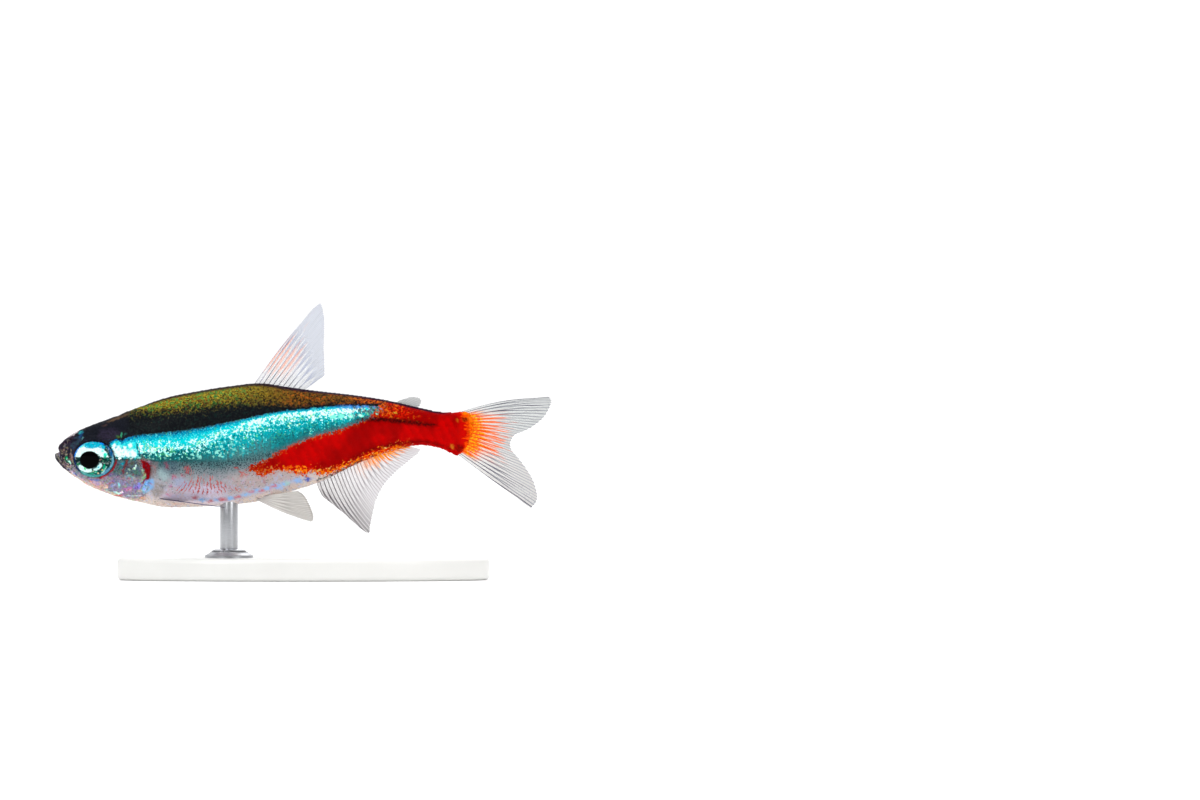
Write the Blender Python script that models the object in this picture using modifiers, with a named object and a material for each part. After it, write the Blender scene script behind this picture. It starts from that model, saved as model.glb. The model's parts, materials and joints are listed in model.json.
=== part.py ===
# Neon tetra, life size, swimming level above a small display stand.
# The head points to -X, the tail to +X and the back up. The stand's underside is z = 0.
# Names ending in _mm are in millimetres; everything that is built is in metres.

import math

import bmesh
import bpy
import numpy as np
from mathutils import Vector

MM = 0.001
GAP = 0.3 * MM              # left between pieces that touch
SINK = 0.9 * MM             # how deep a fin's root runs in before the body's clearance cuts it

# Body lines, from the tip of the jaw to the root of the tail. Each station joins a point of the
# back to a point of the belly, so that the sections lean where the fish does.
# back x, back z, belly x, belly z, half width, all in mm
STATIONS_MM = [
    (-18.02, 8.98, -18.02, 8.86, 0.00),
    (-17.82, 9.60, -17.79, 8.54, 0.50),
    (-17.42, 10.07, -17.30, 8.02, 0.80),
    (-16.60, 10.67, -16.45, 7.38, 1.16),
    (-15.30, 11.25, -15.30, 6.72, 1.48),
    (-13.60, 11.87, -13.60, 6.09, 1.74),
    (-11.85, 12.52, -11.85, 5.64, 1.93),
    (-9.90, 13.19, -9.90, 5.32, 2.03),
    (-7.60, 13.66, -7.60, 5.35, 2.02),
    (-5.30, 14.02, -5.30, 5.50, 1.92),
    (-3.10, 14.22, -3.10, 5.78, 1.77),
    (-1.00, 13.92, -1.00, 6.42, 1.58),
    (1.20, 13.64, 1.20, 7.20, 1.37),
    (3.60, 13.37, 3.60, 8.34, 1.15),
    (6.00, 13.00, 6.00, 9.28, 0.94),
    (8.20, 12.50, 8.20, 9.80, 0.77),
    (9.90, 12.16, 9.80, 9.62, 0.64),
    (11.10, 12.14, 10.62, 9.26, 0.53),
    (11.86, 12.24, 11.12, 9.04, 0.44),
]
SPANS = len(STATIONS_MM) - 1
HEAD_SPANS = 7.6            # how many of them the head is cut from
TRUNK_FROM = 5.2            # and where the trunk starts, under the gill cover
BELT = 0.46                 # the widest line's place between back and belly
BACK_ROUND = 2.25           # the upper half's roundness, where 2 is an ellipse
BELLY_ROUND = 2.05          # and the lower half's
SIDES = 40                  # facets round the body
CUT_HALF = 4 * MM           # half width of the slabs that part the body, wider than the body is

# Gill cover: its hind edge is an arc of an ellipse, and it stands proud of the trunk.
GILL_CENTRE_MM = (-14.21, 8.60)
GILL_REACH_MM = (3.22, 4.50)
GILL_PROUD = 0.14 * MM
GILL_SWEEP = 70             # degrees of the arc above and below its middle
GILL_GROOVE = 0.15 * MM     # the front edge of the cover, a groove in the cheek
CHEEK_LINE_MM = [(-12.96, 9.10), (-12.82, 8.45), (-12.98, 7.80), (-13.40, 7.24), (-14.10, 6.84), (-14.90, 6.66)]

# Mouth: turned up, with the lower jaw a little longer. Its line runs back from between the lips.
MOUTH_LINE_MM = [(-17.68, 9.18), (-17.60, 8.93), (-17.47, 8.68), (-17.34, 8.45), (-17.24, 8.26)]
SNOUT_FRONT_MM = [(-18.40, 10.02), (-17.70, 9.80), (-17.77, 9.58), (-17.75, 9.38), (-17.69, 9.27)]
JAW_TOP_MM = [(-17.77, 9.11), (-17.87, 9.17), (-17.96, 9.12), (-18.40, 9.30)]
MOUTH_OPEN = 0.14 * MM
LIP_MM = 0.14
LIP_BESIDE = 1.06           # how far a lip's middle lies from the mouth's line, in its own radii
LIP_SUNK = (0.45, 1.2)      # how deep it lies in the skin at the front, and how much more at the corner
UPPER_LIP_FRONT_MM = (-17.62, 9.36)
LOWER_LIP_FRONT_MM = (-17.87, 9.01)
ACROSS_MOUTH = (0.90, 0.43)     # square to the mouth's line, towards the upper lip
NOSTRILS_MM = [(-17.16, 9.96), (-16.84, 10.14)]
NOSTRIL = 0.13 * MM

EYE_CENTRE_MM = (-15.12, 1.10, 8.76)
EYE_RADII_MM = (1.46, 0.72, 1.28)
PUPIL_PLACE_MM = (-15.42, 8.72)
PUPIL_RADIUS = 0.67 * MM
PUPIL_RIM = 0.07 * MM

TAIL_CUT = 7.95 * MM        # where the trunk ends and the tail stem begins

FIN_ROOT = 0.78 * MM        # a ray's thickness at its root
PAIRED_ROOT = 0.62 * MM     # the same in the pelvic and pectoral fins
ADIPOSE = 0.6 * MM          # the adipose fin's thickness, and how deep it runs in
FIN_TIP = 0.50 * MM         # a ray's thickness at the fin's margin
WEB = 0.72                  # the web's thickness beside a ray's

STAND_LENGTH = 27.0 * MM
STAND_WIDTH = 14.0 * MM
STAND_THICK = 1.6 * MM
STAND_BEVEL = 0.35 * MM
COLLAR_RADIUS = 1.75 * MM
COLLAR_TOP_RADIUS = 1.365 * MM
COLLAR_HEIGHT = 0.7 * MM
ROD_RADIUS = 0.65 * MM
ROD_X = -5.40 * MM          # under the fish's centre of mass
ROD_OVER = 1.0 * MM         # how far it runs into the belly before the clearance cuts it
SOCKET_DEPTH = 1.5 * MM

COLOURS = {
    "back": (0.10, 0.20, 0.24),
    "flank": (0.02, 0.42, 0.46),
    "red": (0.55, 0.01, 0.005),
    "fin": (0.72, 0.74, 0.78),
    "tail": (0.86, 0.62, 0.50),
    "eye": (0.25, 0.72, 0.74),
    "board": (0.86, 0.86, 0.84),
    "steel": (0.62, 0.63, 0.65),
}


# Scene helpers

def clear_scene():
    for thing in list(bpy.data.objects):
        bpy.data.objects.remove(thing)


def collection(name):
    made = bpy.data.collections.new(name)
    bpy.context.scene.collection.children.link(made)
    return made


def material(name, colour, roughness=0.4, metallic=0.0):
    made = bpy.data.materials.new(name)
    made.use_nodes = True
    shader = made.node_tree.nodes["Principled BSDF"]
    shader.inputs["Base Color"].default_value = (*colour, 1.0)
    shader.inputs["Roughness"].default_value = roughness
    shader.inputs["Metallic"].default_value = metallic
    return made


def put(made, home, finish=None):
    """Moves an object into a collection and gives it its material."""
    for old in list(made.users_collection):
        old.objects.unlink(made)
    home.objects.link(made)
    if finish:
        made.data.materials.clear()
        made.data.materials.append(finish)
    if made.type == "MESH":
        made.data.shade_smooth()
        made.data.set_sharp_from_angle(angle=math.radians(40))
    return made


def as_cutter(made):
    made.hide_render = True
    made.display_type = "WIRE"
    return put(made, CUTTERS)


def cut(target, *cutters, operation="DIFFERENCE"):
    for cutter in cutters:
        step = target.modifiers.new(f"{operation.lower()} {cutter.name}", "BOOLEAN")
        step.operation = operation
        step.object = cutter
        step.solver = "EXACT"
    return target


def curve_to_mesh(curve):
    """A curve as a closed mesh object, its loose caps welded on."""
    bpy.context.view_layer.update()
    evaluated = curve.evaluated_get(bpy.context.evaluated_depsgraph_get())
    mesh = bpy.data.meshes.new_from_object(evaluated)
    shape = bmesh.new()
    shape.from_mesh(mesh)
    bmesh.ops.remove_doubles(shape, verts=shape.verts, dist=1e-7)
    bmesh.ops.recalc_face_normals(shape, faces=shape.faces)
    shape.to_mesh(mesh)
    shape.free()
    made = bpy.data.objects.new(curve.name + "_mesh", mesh)
    made.matrix_world = curve.matrix_world
    bpy.context.scene.collection.objects.link(made)
    bpy.data.objects.remove(curve)
    return made


def tube(name, points, radius, sides=2):
    """A closed tube along points, as a mesh."""
    data = bpy.data.curves.new(name, "CURVE")
    data.dimensions = "3D"
    data.bevel_depth = radius
    data.bevel_resolution = sides
    data.use_fill_caps = True
    line = data.splines.new("POLY")
    line.points.add(len(points) - 1)
    for spot, place in zip(line.points, points):
        spot.co = (*place, 1.0)
    made = bpy.data.objects.new(name, data)
    bpy.context.scene.collection.objects.link(made)
    return curve_to_mesh(made)


def plate(name, outline, half_width):
    """A flat outline in the fish's side view, as a slab that runs across it."""
    data = bpy.data.curves.new(name, "CURVE")
    data.dimensions = "2D"
    data.fill_mode = "BOTH"
    data.extrude = half_width
    line = data.splines.new("POLY")
    line.points.add(len(outline) - 1)
    for spot, (x, z) in zip(line.points, outline):
        spot.co = (x, z, 0.0, 1.0)
    line.use_cyclic_u = True
    made = bpy.data.objects.new(name, data)
    made.rotation_euler.x = math.radians(90)
    bpy.context.scene.collection.objects.link(made)
    return curve_to_mesh(made)


# Smooth lines

def through(points, samples):
    """A smooth line through the points, sampled evenly from the first to the last."""
    known = np.array(points, float)
    at = np.arange(len(known), dtype=float)
    slope = np.gradient(known, axis=0)
    wanted = np.atleast_1d(np.asarray(samples, float)) * (len(known) - 1)
    i = np.clip(wanted.astype(int), 0, len(known) - 2)
    t = (wanted - at[i])[:, None]
    return (
        known[i] * (2 * t**3 - 3 * t**2 + 1)
        + slope[i] * (t**3 - 2 * t**2 + t)
        + known[i + 1] * (3 * t**2 - 2 * t**3)
        + slope[i + 1] * (t**3 - t**2)
    )


LINES = through(STATIONS_MM, np.linspace(0, 1, 601)) * MM


def back_height(x):
    return float(np.interp(x, LINES[:, 0], LINES[:, 1]))


def belly_height(x):
    return float(np.interp(x, LINES[:, 2], LINES[:, 3]))


def half_width(x):
    return float(np.interp(x, LINES[:, 0], LINES[:, 4]))


def flank(x, z):
    """The skin's distance from the middle plane at a place of the side view."""
    top, bottom = back_height(x), belly_height(x)
    belt = bottom + (top - bottom) * (1 - BELT)
    if z > belt:
        up, bow = (z - belt) / (top - belt), BACK_ROUND
    else:
        up, bow = (belt - z) / (belt - bottom), BELLY_ROUND
    return half_width(x) * max(0.0, 1 - min(up, 1.0) ** bow) ** (1 / bow)


def gill_swell(x, z):
    """How far the gill cover stands proud, fading in from the cheek."""
    cx, cz = (v * MM for v in GILL_CENTRE_MM)
    rx, rz = (v * MM for v in GILL_REACH_MM)
    near = math.hypot((x - cx) / rx, (z - cz) / rz)
    fade = min(1.0, max(0.0, (near - 0.35) / 0.6)) if x > cx else 0.0
    along = min(1.0, max(0.0, (x - cx) / (0.6 * rx)))
    low = min(1.0, max(0.0, (11.2 * MM - z) / (1.6 * MM)))
    return GILL_PROUD * fade * along * low


# Body

def body(name, start, end, rings, crowd=1.0, grow=0.0, swell=False):
    """A closed length of the body between two shares of its line, from a sphere whose rings become sections."""
    bpy.ops.mesh.primitive_uv_sphere_add(segments=SIDES, ring_count=rings, radius=1.0)
    made = bpy.context.object
    made.name = name
    tip = start == 0.0
    for vertex in made.data.vertices:
        ring = round(math.acos(max(-1.0, min(1.0, vertex.co.z))) / math.pi * rings)
        turn = math.atan2(vertex.co.y, vertex.co.x)
        pole = ring in (0, rings)
        if tip:
            share = min(ring, rings - 1) / (rings - 1)
        else:
            share = (min(max(ring, 1), rings - 1) - 1) / (rings - 2)
        station = start + (end - start) * share**crowd
        bx, bz, lx, lz, wide = through(STATIONS_MM, station)[0] * MM
        lean = Vector((bx - lx, bz - lz)).normalized() if bz - lz > 0.2 * MM else Vector((0, 1))
        back = Vector((bx, bz)) + lean * grow
        belly = Vector((lx, lz)) - lean * grow
        belt = back.lerp(belly, BELT)
        if pole:
            vertex.co = (belt.x, 0.0, belt.y)
        else:
            rise, side = math.cos(turn), math.sin(turn)
            bow = BACK_ROUND if rise > 0 else BELLY_ROUND
            to = back if rise > 0 else belly
            place = belt.lerp(to, abs(rise) ** (2 / bow))
            out = (wide + grow) * math.copysign(abs(side) ** (2 / bow), side)
            if swell:
                out += math.copysign(gill_swell(place.x, place.y) * abs(side), side)
            vertex.co = (place.x, out, place.y)
        vertex.co.x += grow * (2 * share - 1)
    turn_outwards(made)
    return made


def turn_outwards(made):
    shape = bmesh.new()
    shape.from_mesh(made.data)
    bmesh.ops.recalc_face_normals(shape, faces=shape.faces)
    shape.to_mesh(made.data)
    shape.free()


def gill_outline(offset, far_x):
    """The gill cover's hind edge, moved back by offset, closed off at far_x."""
    cx, cz = (v * MM for v in GILL_CENTRE_MM)
    rx, rz = (v * MM + offset for v in GILL_REACH_MM)
    steps = 26
    sweep = math.radians(GILL_SWEEP)
    arc = []
    for i in range(steps + 1):
        a = -sweep + 2 * sweep * i / steps
        arc.append((cx + rx * math.cos(a), cz + rz * math.sin(a)))
    low, high = 2.0 * MM, 17.0 * MM
    return [(arc[0][0], low), *arc, (arc[-1][0], high), (far_x, high), (far_x, low)]


def on_skin(points_mm, side, samples=18):
    """A smooth line of the side view, laid on the skin of one side."""
    line = through(points_mm, np.linspace(0, 1, samples)) * MM
    return [Vector((x, side * (flank(x, z) + gill_swell(x, z)), z)) for x, z in line]


def lip_line(front, to_upper):
    """Round the mouth from one corner to the other, beside its line: to_upper is 1 for the upper lip, -1 for the lower."""
    beside = to_upper * LIP_BESIDE * LIP_MM
    edge = [front] + [(x + ACROSS_MOUTH[0] * beside, z + ACROSS_MOUTH[1] * beside) for x, z in MOUTH_LINE_MM[1:]]
    right = []
    for i, (x, z) in enumerate(edge):
        sunk = LIP_MM * (LIP_SUNK[0] + LIP_SUNK[1] * (i / (len(edge) - 1)) ** 3)
        right.append((x, flank(x * MM, z * MM) / MM - sunk if i else 0.0, z))
    left = [(x, -y, z) for x, y, z in reversed(right[1:])]
    return [Vector(place) * MM for place in through(left + right, np.linspace(0, 1, 25))]


def mouth_outline():
    """Where the mouth is open: the space before the upper lip and above the jaw, and the slit behind it."""
    line = through(MOUTH_LINE_MM, np.linspace(0, 1, 9)) * MM
    open_by = np.linspace(1.0, 0.4, 9) * MOUTH_OPEN / 2
    above = [(x, z + o) for (x, z), o in zip(line, open_by)]
    below = [(x, z - o) for (x, z), o in zip(line, open_by)]
    front = [(x * MM, z * MM) for x, z in SNOUT_FRONT_MM]
    jaw = [(x * MM, z * MM) for x, z in JAW_TOP_MM]
    return front + above + below[::-1] + jaw


def make_head():
    head = body("head", 0.0, HEAD_SPANS / SPANS, 34, crowd=1.25, swell=True)
    lips = [
        tube("upper_lip", lip_line(UPPER_LIP_FRONT_MM, 1), LIP_MM * MM),
        tube("lower_lip", lip_line(LOWER_LIP_FRONT_MM, -1), LIP_MM * MM),
    ]
    for lip in lips:
        cut(head, as_cutter(lip), operation="UNION")
    cut(head, as_cutter(plate("behind_gill", gill_outline(0.0, 0.0), CUT_HALF)))
    cut(head, as_cutter(plate("mouth_slit", mouth_outline(), CUT_HALF)))
    for side in (-1, 1):
        name = "left" if side < 0 else "right"
        cut(head, as_cutter(eye_ball(f"{name}_socket", side, GAP)))
        cut(head, as_cutter(tube(f"{name}_cheek", on_skin(CHEEK_LINE_MM, side), GILL_GROOVE)))
        for number, (x, z) in enumerate(NOSTRILS_MM, 1):
            spot = Vector((x * MM, side * flank(x * MM, z * MM), z * MM))
            bpy.ops.mesh.primitive_uv_sphere_add(segments=10, ring_count=6, radius=NOSTRIL, location=spot)
            pit = bpy.context.object
            pit.name = f"{name}_nostril_{number}"
            cut(head, as_cutter(pit))
    even = head.modifiers.new("even triangles where it was cut", "TRIANGULATE")
    even.quad_method = "BEAUTY"
    even.ngon_method = "BEAUTY"
    return put(head, FISH, FINISH["back"])


def make_trunk():
    trunk = body("trunk", TRUNK_FROM / SPANS, station_at(TAIL_CUT - GAP / 2), 30)
    cut(trunk, as_cutter(plate("before_gill", gill_outline(GAP, -20 * MM), CUT_HALF)))
    return put(trunk, FISH, FINISH["flank"])


def make_tail_stem():
    stem = body("tail_stem", station_at(TAIL_CUT + GAP / 2), 1.0, 12)
    return put(stem, FISH, FINISH["red"])


def station_at(x):
    """The share of the body's line at which its back reaches x."""
    return float(np.interp(x, LINES[:, 0], np.linspace(0, 1, len(LINES))))


def make_clearance():
    """The whole body, larger by the gap all round: it trims the fins and the rod."""
    return as_cutter(body("body_clearance", 0.0, 1.0, 64, crowd=1.2, grow=GAP, swell=True))


# Eyes

def eye_ball(name, side, grow=0.0):
    x, y, z = (v * MM for v in EYE_CENTRE_MM)
    bpy.ops.mesh.primitive_uv_sphere_add(
        segments=28, ring_count=14, radius=1.0, location=(x, side * y, z), rotation=(math.radians(90), 0, 0)
    )
    made = bpy.context.object
    made.name = name
    rx, ry, rz = (v * MM + grow for v in EYE_RADII_MM)
    made.scale = (rx, rz, ry)
    bpy.ops.object.transform_apply(location=False, rotation=True, scale=True)
    return made


def make_eye(side, name):
    eye = eye_ball(name, side)
    x, z = (v * MM for v in PUPIL_PLACE_MM)
    rx, ry, rz = (v * MM for v in EYE_RADII_MM)
    reach = EYE_CENTRE_MM[1] * MM + ry * math.sqrt(1 - (PUPIL_RADIUS / rx) ** 2)
    bpy.ops.mesh.primitive_torus_add(
        major_segments=24, minor_segments=5, major_radius=PUPIL_RADIUS, minor_radius=PUPIL_RIM,
        location=(x, side * reach, z), rotation=(math.radians(90), 0, 0),
    )
    ring = bpy.context.object
    ring.name = f"{name}_pupil_ring"
    cut(eye, as_cutter(ring))
    return put(eye, FISH, FINISH["eye"])


# Fins

def upright(curl=0.0, over=6.0 * MM, start_z=0.0):
    """Places a side-view point on the middle plane, curling aside by curl at a distance over."""
    def place(x, z):
        away = abs(z - start_z) / over
        return Vector((x, curl * away**2, z))
    return place


def fin(name, root, margin, rays, rows, place, bows, front=(0.0, 0.0), thick=FIN_ROOT, tip=FIN_TIP, finish="fin"):
    """A fin as one web with a ridge for each ray. root and margin run from its front ray to its hind one.
    bows bend the rays forward of a straight line, at even steps from the first ray to the last.
    front is the share of the rays, and of the margin, that ends along the fin's front edge."""
    columns = 2 * (rays - 1)
    lots = np.linspace(0, 1, columns + 1)
    roots = through(root, lots) * MM
    tips = through(margin, np.interp(lots, (0, front[0], 1), (0, front[1], 1))) * MM
    bends = np.interp(lots, np.linspace(0, 1, len(bows)), bows) * MM
    shape = bmesh.new()
    bmesh.ops.create_grid(shape, x_segments=columns, y_segments=rows, size=1.0)
    mesh = bpy.data.meshes.new(name)
    shape.to_mesh(mesh)
    shape.free()
    made = bpy.data.objects.new(name, mesh)
    weights = []
    for vertex in mesh.vertices:
        column = round((vertex.co.x + 1) / 2 * columns)
        out = (vertex.co.y + 1) / 2
        base, end = Vector(roots[column]), Vector(tips[column])
        along = end - base
        ahead = Vector((-along.y, along.x)).normalized()
        spot = base + along * out + ahead * bends[column] * math.sin(math.pi * out)
        vertex.co = place(spot.x, spot.y)
        ray = thick + (tip - thick) * out
        weights.append(ray * (1.0 if column % 2 == 0 else WEB + (1 - WEB) * out**2))
    group = made.vertex_groups.new(name="thickness")
    for number, weight in enumerate(weights):
        group.add([number], weight / thick, "REPLACE")
    split = made.modifiers.new("same triangles on both faces", "TRIANGULATE")
    split.quad_method = "FIXED"
    wall = made.modifiers.new("thickness", "SOLIDIFY")
    wall.thickness = thick
    wall.offset = 0.0
    wall.vertex_group = "thickness"
    wall.use_rim = True
    bpy.context.scene.collection.objects.link(made)
    cut(made, CLEARANCE)
    return put(made, FISH, FINISH[finish])


def back_root(x_front, x_hind, sink=SINK):
    """Root points just inside the back, for a fin that stands on it."""
    return [(x, back_height(x * MM) / MM - sink / MM) for x in np.linspace(x_front, x_hind, 4)]


def belly_root(x_front, x_hind, sink=SINK):
    return [(x, belly_height(x * MM) / MM + sink / MM) for x in np.linspace(x_front, x_hind, 5)]


def make_dorsal_fin():
    margin = [(0.70, 19.68), (1.22, 20.04), (1.44, 19.22), (1.50, 18.30), (1.46, 17.30), (1.48, 16.20), (1.52, 14.82)]
    place = upright(0.5 * MM, start_z=14 * MM)
    return fin("dorsal_fin", back_root(-3.82, -0.35), margin, 11, 8, place, (0.13, 0.05, 0.0))


def make_adipose_fin():
    margin = [(6.98, 13.02), (7.66, 13.24), (8.26, 13.24), (8.52, 13.00), (8.42, 12.60)]
    return fin("adipose_fin", back_root(6.70, 7.50, ADIPOSE), margin, 4, 4, upright(), (0.1, 0.0), thick=ADIPOSE)


def make_anal_fin():
    margin = [
        (1.46, 5.96), (2.00, 5.58), (2.94, 4.80), (3.78, 4.06), (4.70, 3.40), (4.86, 4.05), (5.06, 4.96),
        (5.30, 5.88), (5.84, 6.90), (6.58, 7.73), (7.42, 8.47), (8.24, 9.12), (8.48, 9.48),
    ]
    place = upright(-0.5 * MM, start_z=8 * MM)
    bows = (-0.08, -0.32, -0.26, -0.19, -0.13, -0.07, 0.0)
    return fin("anal_fin", belly_root(0.86, 6.90), margin, 19, 8, place, bows, front=(0.18, 0.333))


def make_caudal_fin():
    margin = [
        (17.78, 13.27), (17.96, 12.98), (17.80, 12.45), (17.40, 11.80), (16.80, 11.26), (15.98, 10.80),
        (15.32, 10.52), (15.00, 9.98), (15.10, 9.42), (15.66, 8.74), (16.30, 7.86), (16.70, 7.08),
        (16.92, 6.30), (16.88, 5.70), (16.50, 5.20),
    ]
    root = [(11.10, 12.10), (11.00, 11.30), (10.88, 10.30), (10.80, 9.40)]
    flesh_end, over, curl = 12.0 * MM, 6.0 * MM, 0.45 * MM

    def place(x, z):
        return Vector((x, curl * (max(0.0, x - flesh_end) / over) ** 2, z))

    return fin("caudal_fin", root, margin, 19, 9, place, (0.28, 0.10, -0.03), finish="tail")


def make_pelvic_fin(side, name):
    margin = [(0.62, 4.22), (0.68, 4.60), (0.50, 5.16), (0.22, 5.78), (-0.10, 6.22), (-0.46, 6.46)]
    root = [(-3.50, 5.96), (-3.18, 6.08), (-2.86, 6.24)]
    root_x, spread, splay = -3.2 * MM, 0.50 * MM, 0.30

    def place(x, z):
        return Vector((x, side * (spread + splay * max(0.0, x - root_x)), z))

    return fin(name, root, margin, 8, 7, place, (-0.14, 0.0), thick=PAIRED_ROOT)


def make_pectoral_fin(side, name):
    # Here the second number is the distance from the middle plane: the fin is spread level, edge on from the side.
    margin = [(-5.86, 3.50), (-5.62, 3.10), (-5.72, 2.52), (-6.12, 1.96), (-6.74, 1.52), (-7.40, 1.26)]
    root = [(-10.60, 0.92), (-10.44, 0.78), (-10.24, 0.64)]
    root_x, height, fall = -10.8 * MM, 5.96 * MM, 0.128

    def place(x, y):
        return Vector((x, side * y, height - fall * (x - root_x)))

    return fin(name, root, margin, 10, 7, place, (0.22, 0.0), thick=PAIRED_ROOT)


# Stand

def make_stand_base():
    bpy.ops.mesh.primitive_cylinder_add(vertices=64, radius=0.5, depth=STAND_THICK, location=(0, 0, STAND_THICK / 2))
    base = bpy.context.object
    base.name = "stand_base"
    base.scale = (STAND_LENGTH, STAND_WIDTH, 1.0)
    bpy.ops.object.transform_apply(location=True, rotation=True, scale=True)
    edge = base.modifiers.new("eased edge", "BEVEL")
    edge.width = STAND_BEVEL
    edge.segments = 2
    edge.angle_limit = math.radians(50)
    collar_top = STAND_THICK + COLLAR_HEIGHT
    bpy.ops.mesh.primitive_cone_add(
        vertices=32, radius1=COLLAR_RADIUS, radius2=COLLAR_TOP_RADIUS, depth=COLLAR_HEIGHT * 2,
        location=(ROD_X, 0, collar_top - COLLAR_HEIGHT),
    )
    collar = bpy.context.object
    collar.name = "collar"
    cut(base, as_cutter(collar), operation="UNION")
    bpy.ops.mesh.primitive_cylinder_add(
        vertices=32, radius=ROD_RADIUS + GAP, depth=2 * SOCKET_DEPTH, location=(ROD_X, 0, collar_top)
    )
    socket = bpy.context.object
    socket.name = "rod_socket"
    cut(base, as_cutter(socket))
    return put(base, STAND, FINISH["board"])


def make_stand_rod():
    foot = STAND_THICK + COLLAR_HEIGHT - SOCKET_DEPTH + GAP
    head = belly_height(ROD_X) + ROD_OVER
    bpy.ops.mesh.primitive_cylinder_add(
        vertices=32, radius=ROD_RADIUS, depth=head - foot, location=(ROD_X, 0, (head + foot) / 2)
    )
    rod = bpy.context.object
    rod.name = "stand_rod"
    cut(rod, CLEARANCE)
    return put(rod, STAND, FINISH["steel"])


clear_scene()
FISH = collection("neon_tetra")
STAND = collection("display_stand")
CUTTERS = collection("cutters")
FINISH = {
    name: material(name, colour, 0.25 if name == "steel" else 0.4, 1.0 if name == "steel" else 0.0)
    for name, colour in COLOURS.items()
}
CLEARANCE = make_clearance()
make_head()
make_trunk()
make_tail_stem()
make_dorsal_fin()
make_adipose_fin()
make_anal_fin()
make_caudal_fin()
for side, name in ((-1, "left"), (1, "right")):
    make_eye(side, f"eye_{name}")
    make_pelvic_fin(side, f"pelvic_fin_{name}")
    make_pectoral_fin(side, f"pectoral_fin_{name}")
make_stand_base()
make_stand_rod()
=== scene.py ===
# Looks of the neon tetra: one skin with its scales, the eyes, the fins and the display stand.
# Lengths are in millimetres while a piece is shaped, and its mesh is scaled to metres at the end.
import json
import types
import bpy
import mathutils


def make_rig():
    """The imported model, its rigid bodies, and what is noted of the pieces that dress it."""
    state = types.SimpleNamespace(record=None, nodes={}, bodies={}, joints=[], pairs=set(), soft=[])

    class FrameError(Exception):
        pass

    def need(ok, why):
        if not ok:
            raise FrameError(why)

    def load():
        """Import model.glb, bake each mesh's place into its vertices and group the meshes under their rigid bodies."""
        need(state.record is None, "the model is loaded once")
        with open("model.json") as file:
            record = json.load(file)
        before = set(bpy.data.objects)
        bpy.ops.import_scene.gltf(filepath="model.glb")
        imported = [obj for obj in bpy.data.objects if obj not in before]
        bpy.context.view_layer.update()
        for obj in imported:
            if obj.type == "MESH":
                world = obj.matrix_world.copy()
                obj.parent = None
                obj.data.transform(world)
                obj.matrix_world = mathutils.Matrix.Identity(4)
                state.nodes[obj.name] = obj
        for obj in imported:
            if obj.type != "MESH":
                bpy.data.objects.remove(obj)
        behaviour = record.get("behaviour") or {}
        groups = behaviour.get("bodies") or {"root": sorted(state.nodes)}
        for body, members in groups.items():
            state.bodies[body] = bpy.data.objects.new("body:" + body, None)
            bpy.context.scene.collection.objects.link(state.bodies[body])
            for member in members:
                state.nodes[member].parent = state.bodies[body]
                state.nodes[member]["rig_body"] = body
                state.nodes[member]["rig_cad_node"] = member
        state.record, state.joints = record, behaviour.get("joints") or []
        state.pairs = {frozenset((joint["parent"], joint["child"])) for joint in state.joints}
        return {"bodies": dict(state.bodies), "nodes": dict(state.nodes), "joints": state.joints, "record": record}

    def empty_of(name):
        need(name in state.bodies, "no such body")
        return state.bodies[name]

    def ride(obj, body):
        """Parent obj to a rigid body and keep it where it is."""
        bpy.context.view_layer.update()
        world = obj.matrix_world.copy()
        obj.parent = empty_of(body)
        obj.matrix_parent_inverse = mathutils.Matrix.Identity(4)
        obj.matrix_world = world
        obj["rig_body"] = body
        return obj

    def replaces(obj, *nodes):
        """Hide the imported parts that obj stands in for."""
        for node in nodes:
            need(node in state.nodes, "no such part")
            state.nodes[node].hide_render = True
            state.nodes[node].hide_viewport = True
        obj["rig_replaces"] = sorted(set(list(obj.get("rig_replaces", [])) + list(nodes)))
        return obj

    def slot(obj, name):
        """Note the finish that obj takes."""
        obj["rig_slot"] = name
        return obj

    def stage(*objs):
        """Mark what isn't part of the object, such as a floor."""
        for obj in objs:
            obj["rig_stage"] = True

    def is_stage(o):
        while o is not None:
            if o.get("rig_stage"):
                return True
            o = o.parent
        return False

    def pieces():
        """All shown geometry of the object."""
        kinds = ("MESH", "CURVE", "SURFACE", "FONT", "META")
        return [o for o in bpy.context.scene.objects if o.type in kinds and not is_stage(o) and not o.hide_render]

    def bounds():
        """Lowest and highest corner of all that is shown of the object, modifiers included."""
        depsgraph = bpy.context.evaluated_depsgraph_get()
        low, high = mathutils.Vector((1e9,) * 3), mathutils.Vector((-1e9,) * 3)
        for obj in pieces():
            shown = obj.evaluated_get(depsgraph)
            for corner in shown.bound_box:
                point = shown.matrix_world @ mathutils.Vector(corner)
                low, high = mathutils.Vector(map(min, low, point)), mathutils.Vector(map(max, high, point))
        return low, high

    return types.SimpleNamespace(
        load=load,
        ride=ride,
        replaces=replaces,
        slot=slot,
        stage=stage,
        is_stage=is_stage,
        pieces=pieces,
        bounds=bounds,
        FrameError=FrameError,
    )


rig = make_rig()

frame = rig.load()

import json
import math

import bpy
import numpy as np

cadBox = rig.bounds()
mm = 0.001

# Places in the photograph are columns and rows of its 1200 x 800 frame
photo = {
    "mmPerPixel": 0.0725,       # 36 mm of fish over 497 pixels
    "middleColumn": 303.5,      # the column where x is 0
    "floorRow": 580.0,          # the row where z is 0
}


def seen(places):
    spots = np.atleast_2d(np.array(places, float))
    across = (spots[:, 0] - photo["middleColumn"]) * photo["mmPerPixel"]
    up = (photo["floorRow"] - spots[:, 1]) * photo["mmPerPixel"]
    return np.stack([across, up], axis=1)


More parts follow.
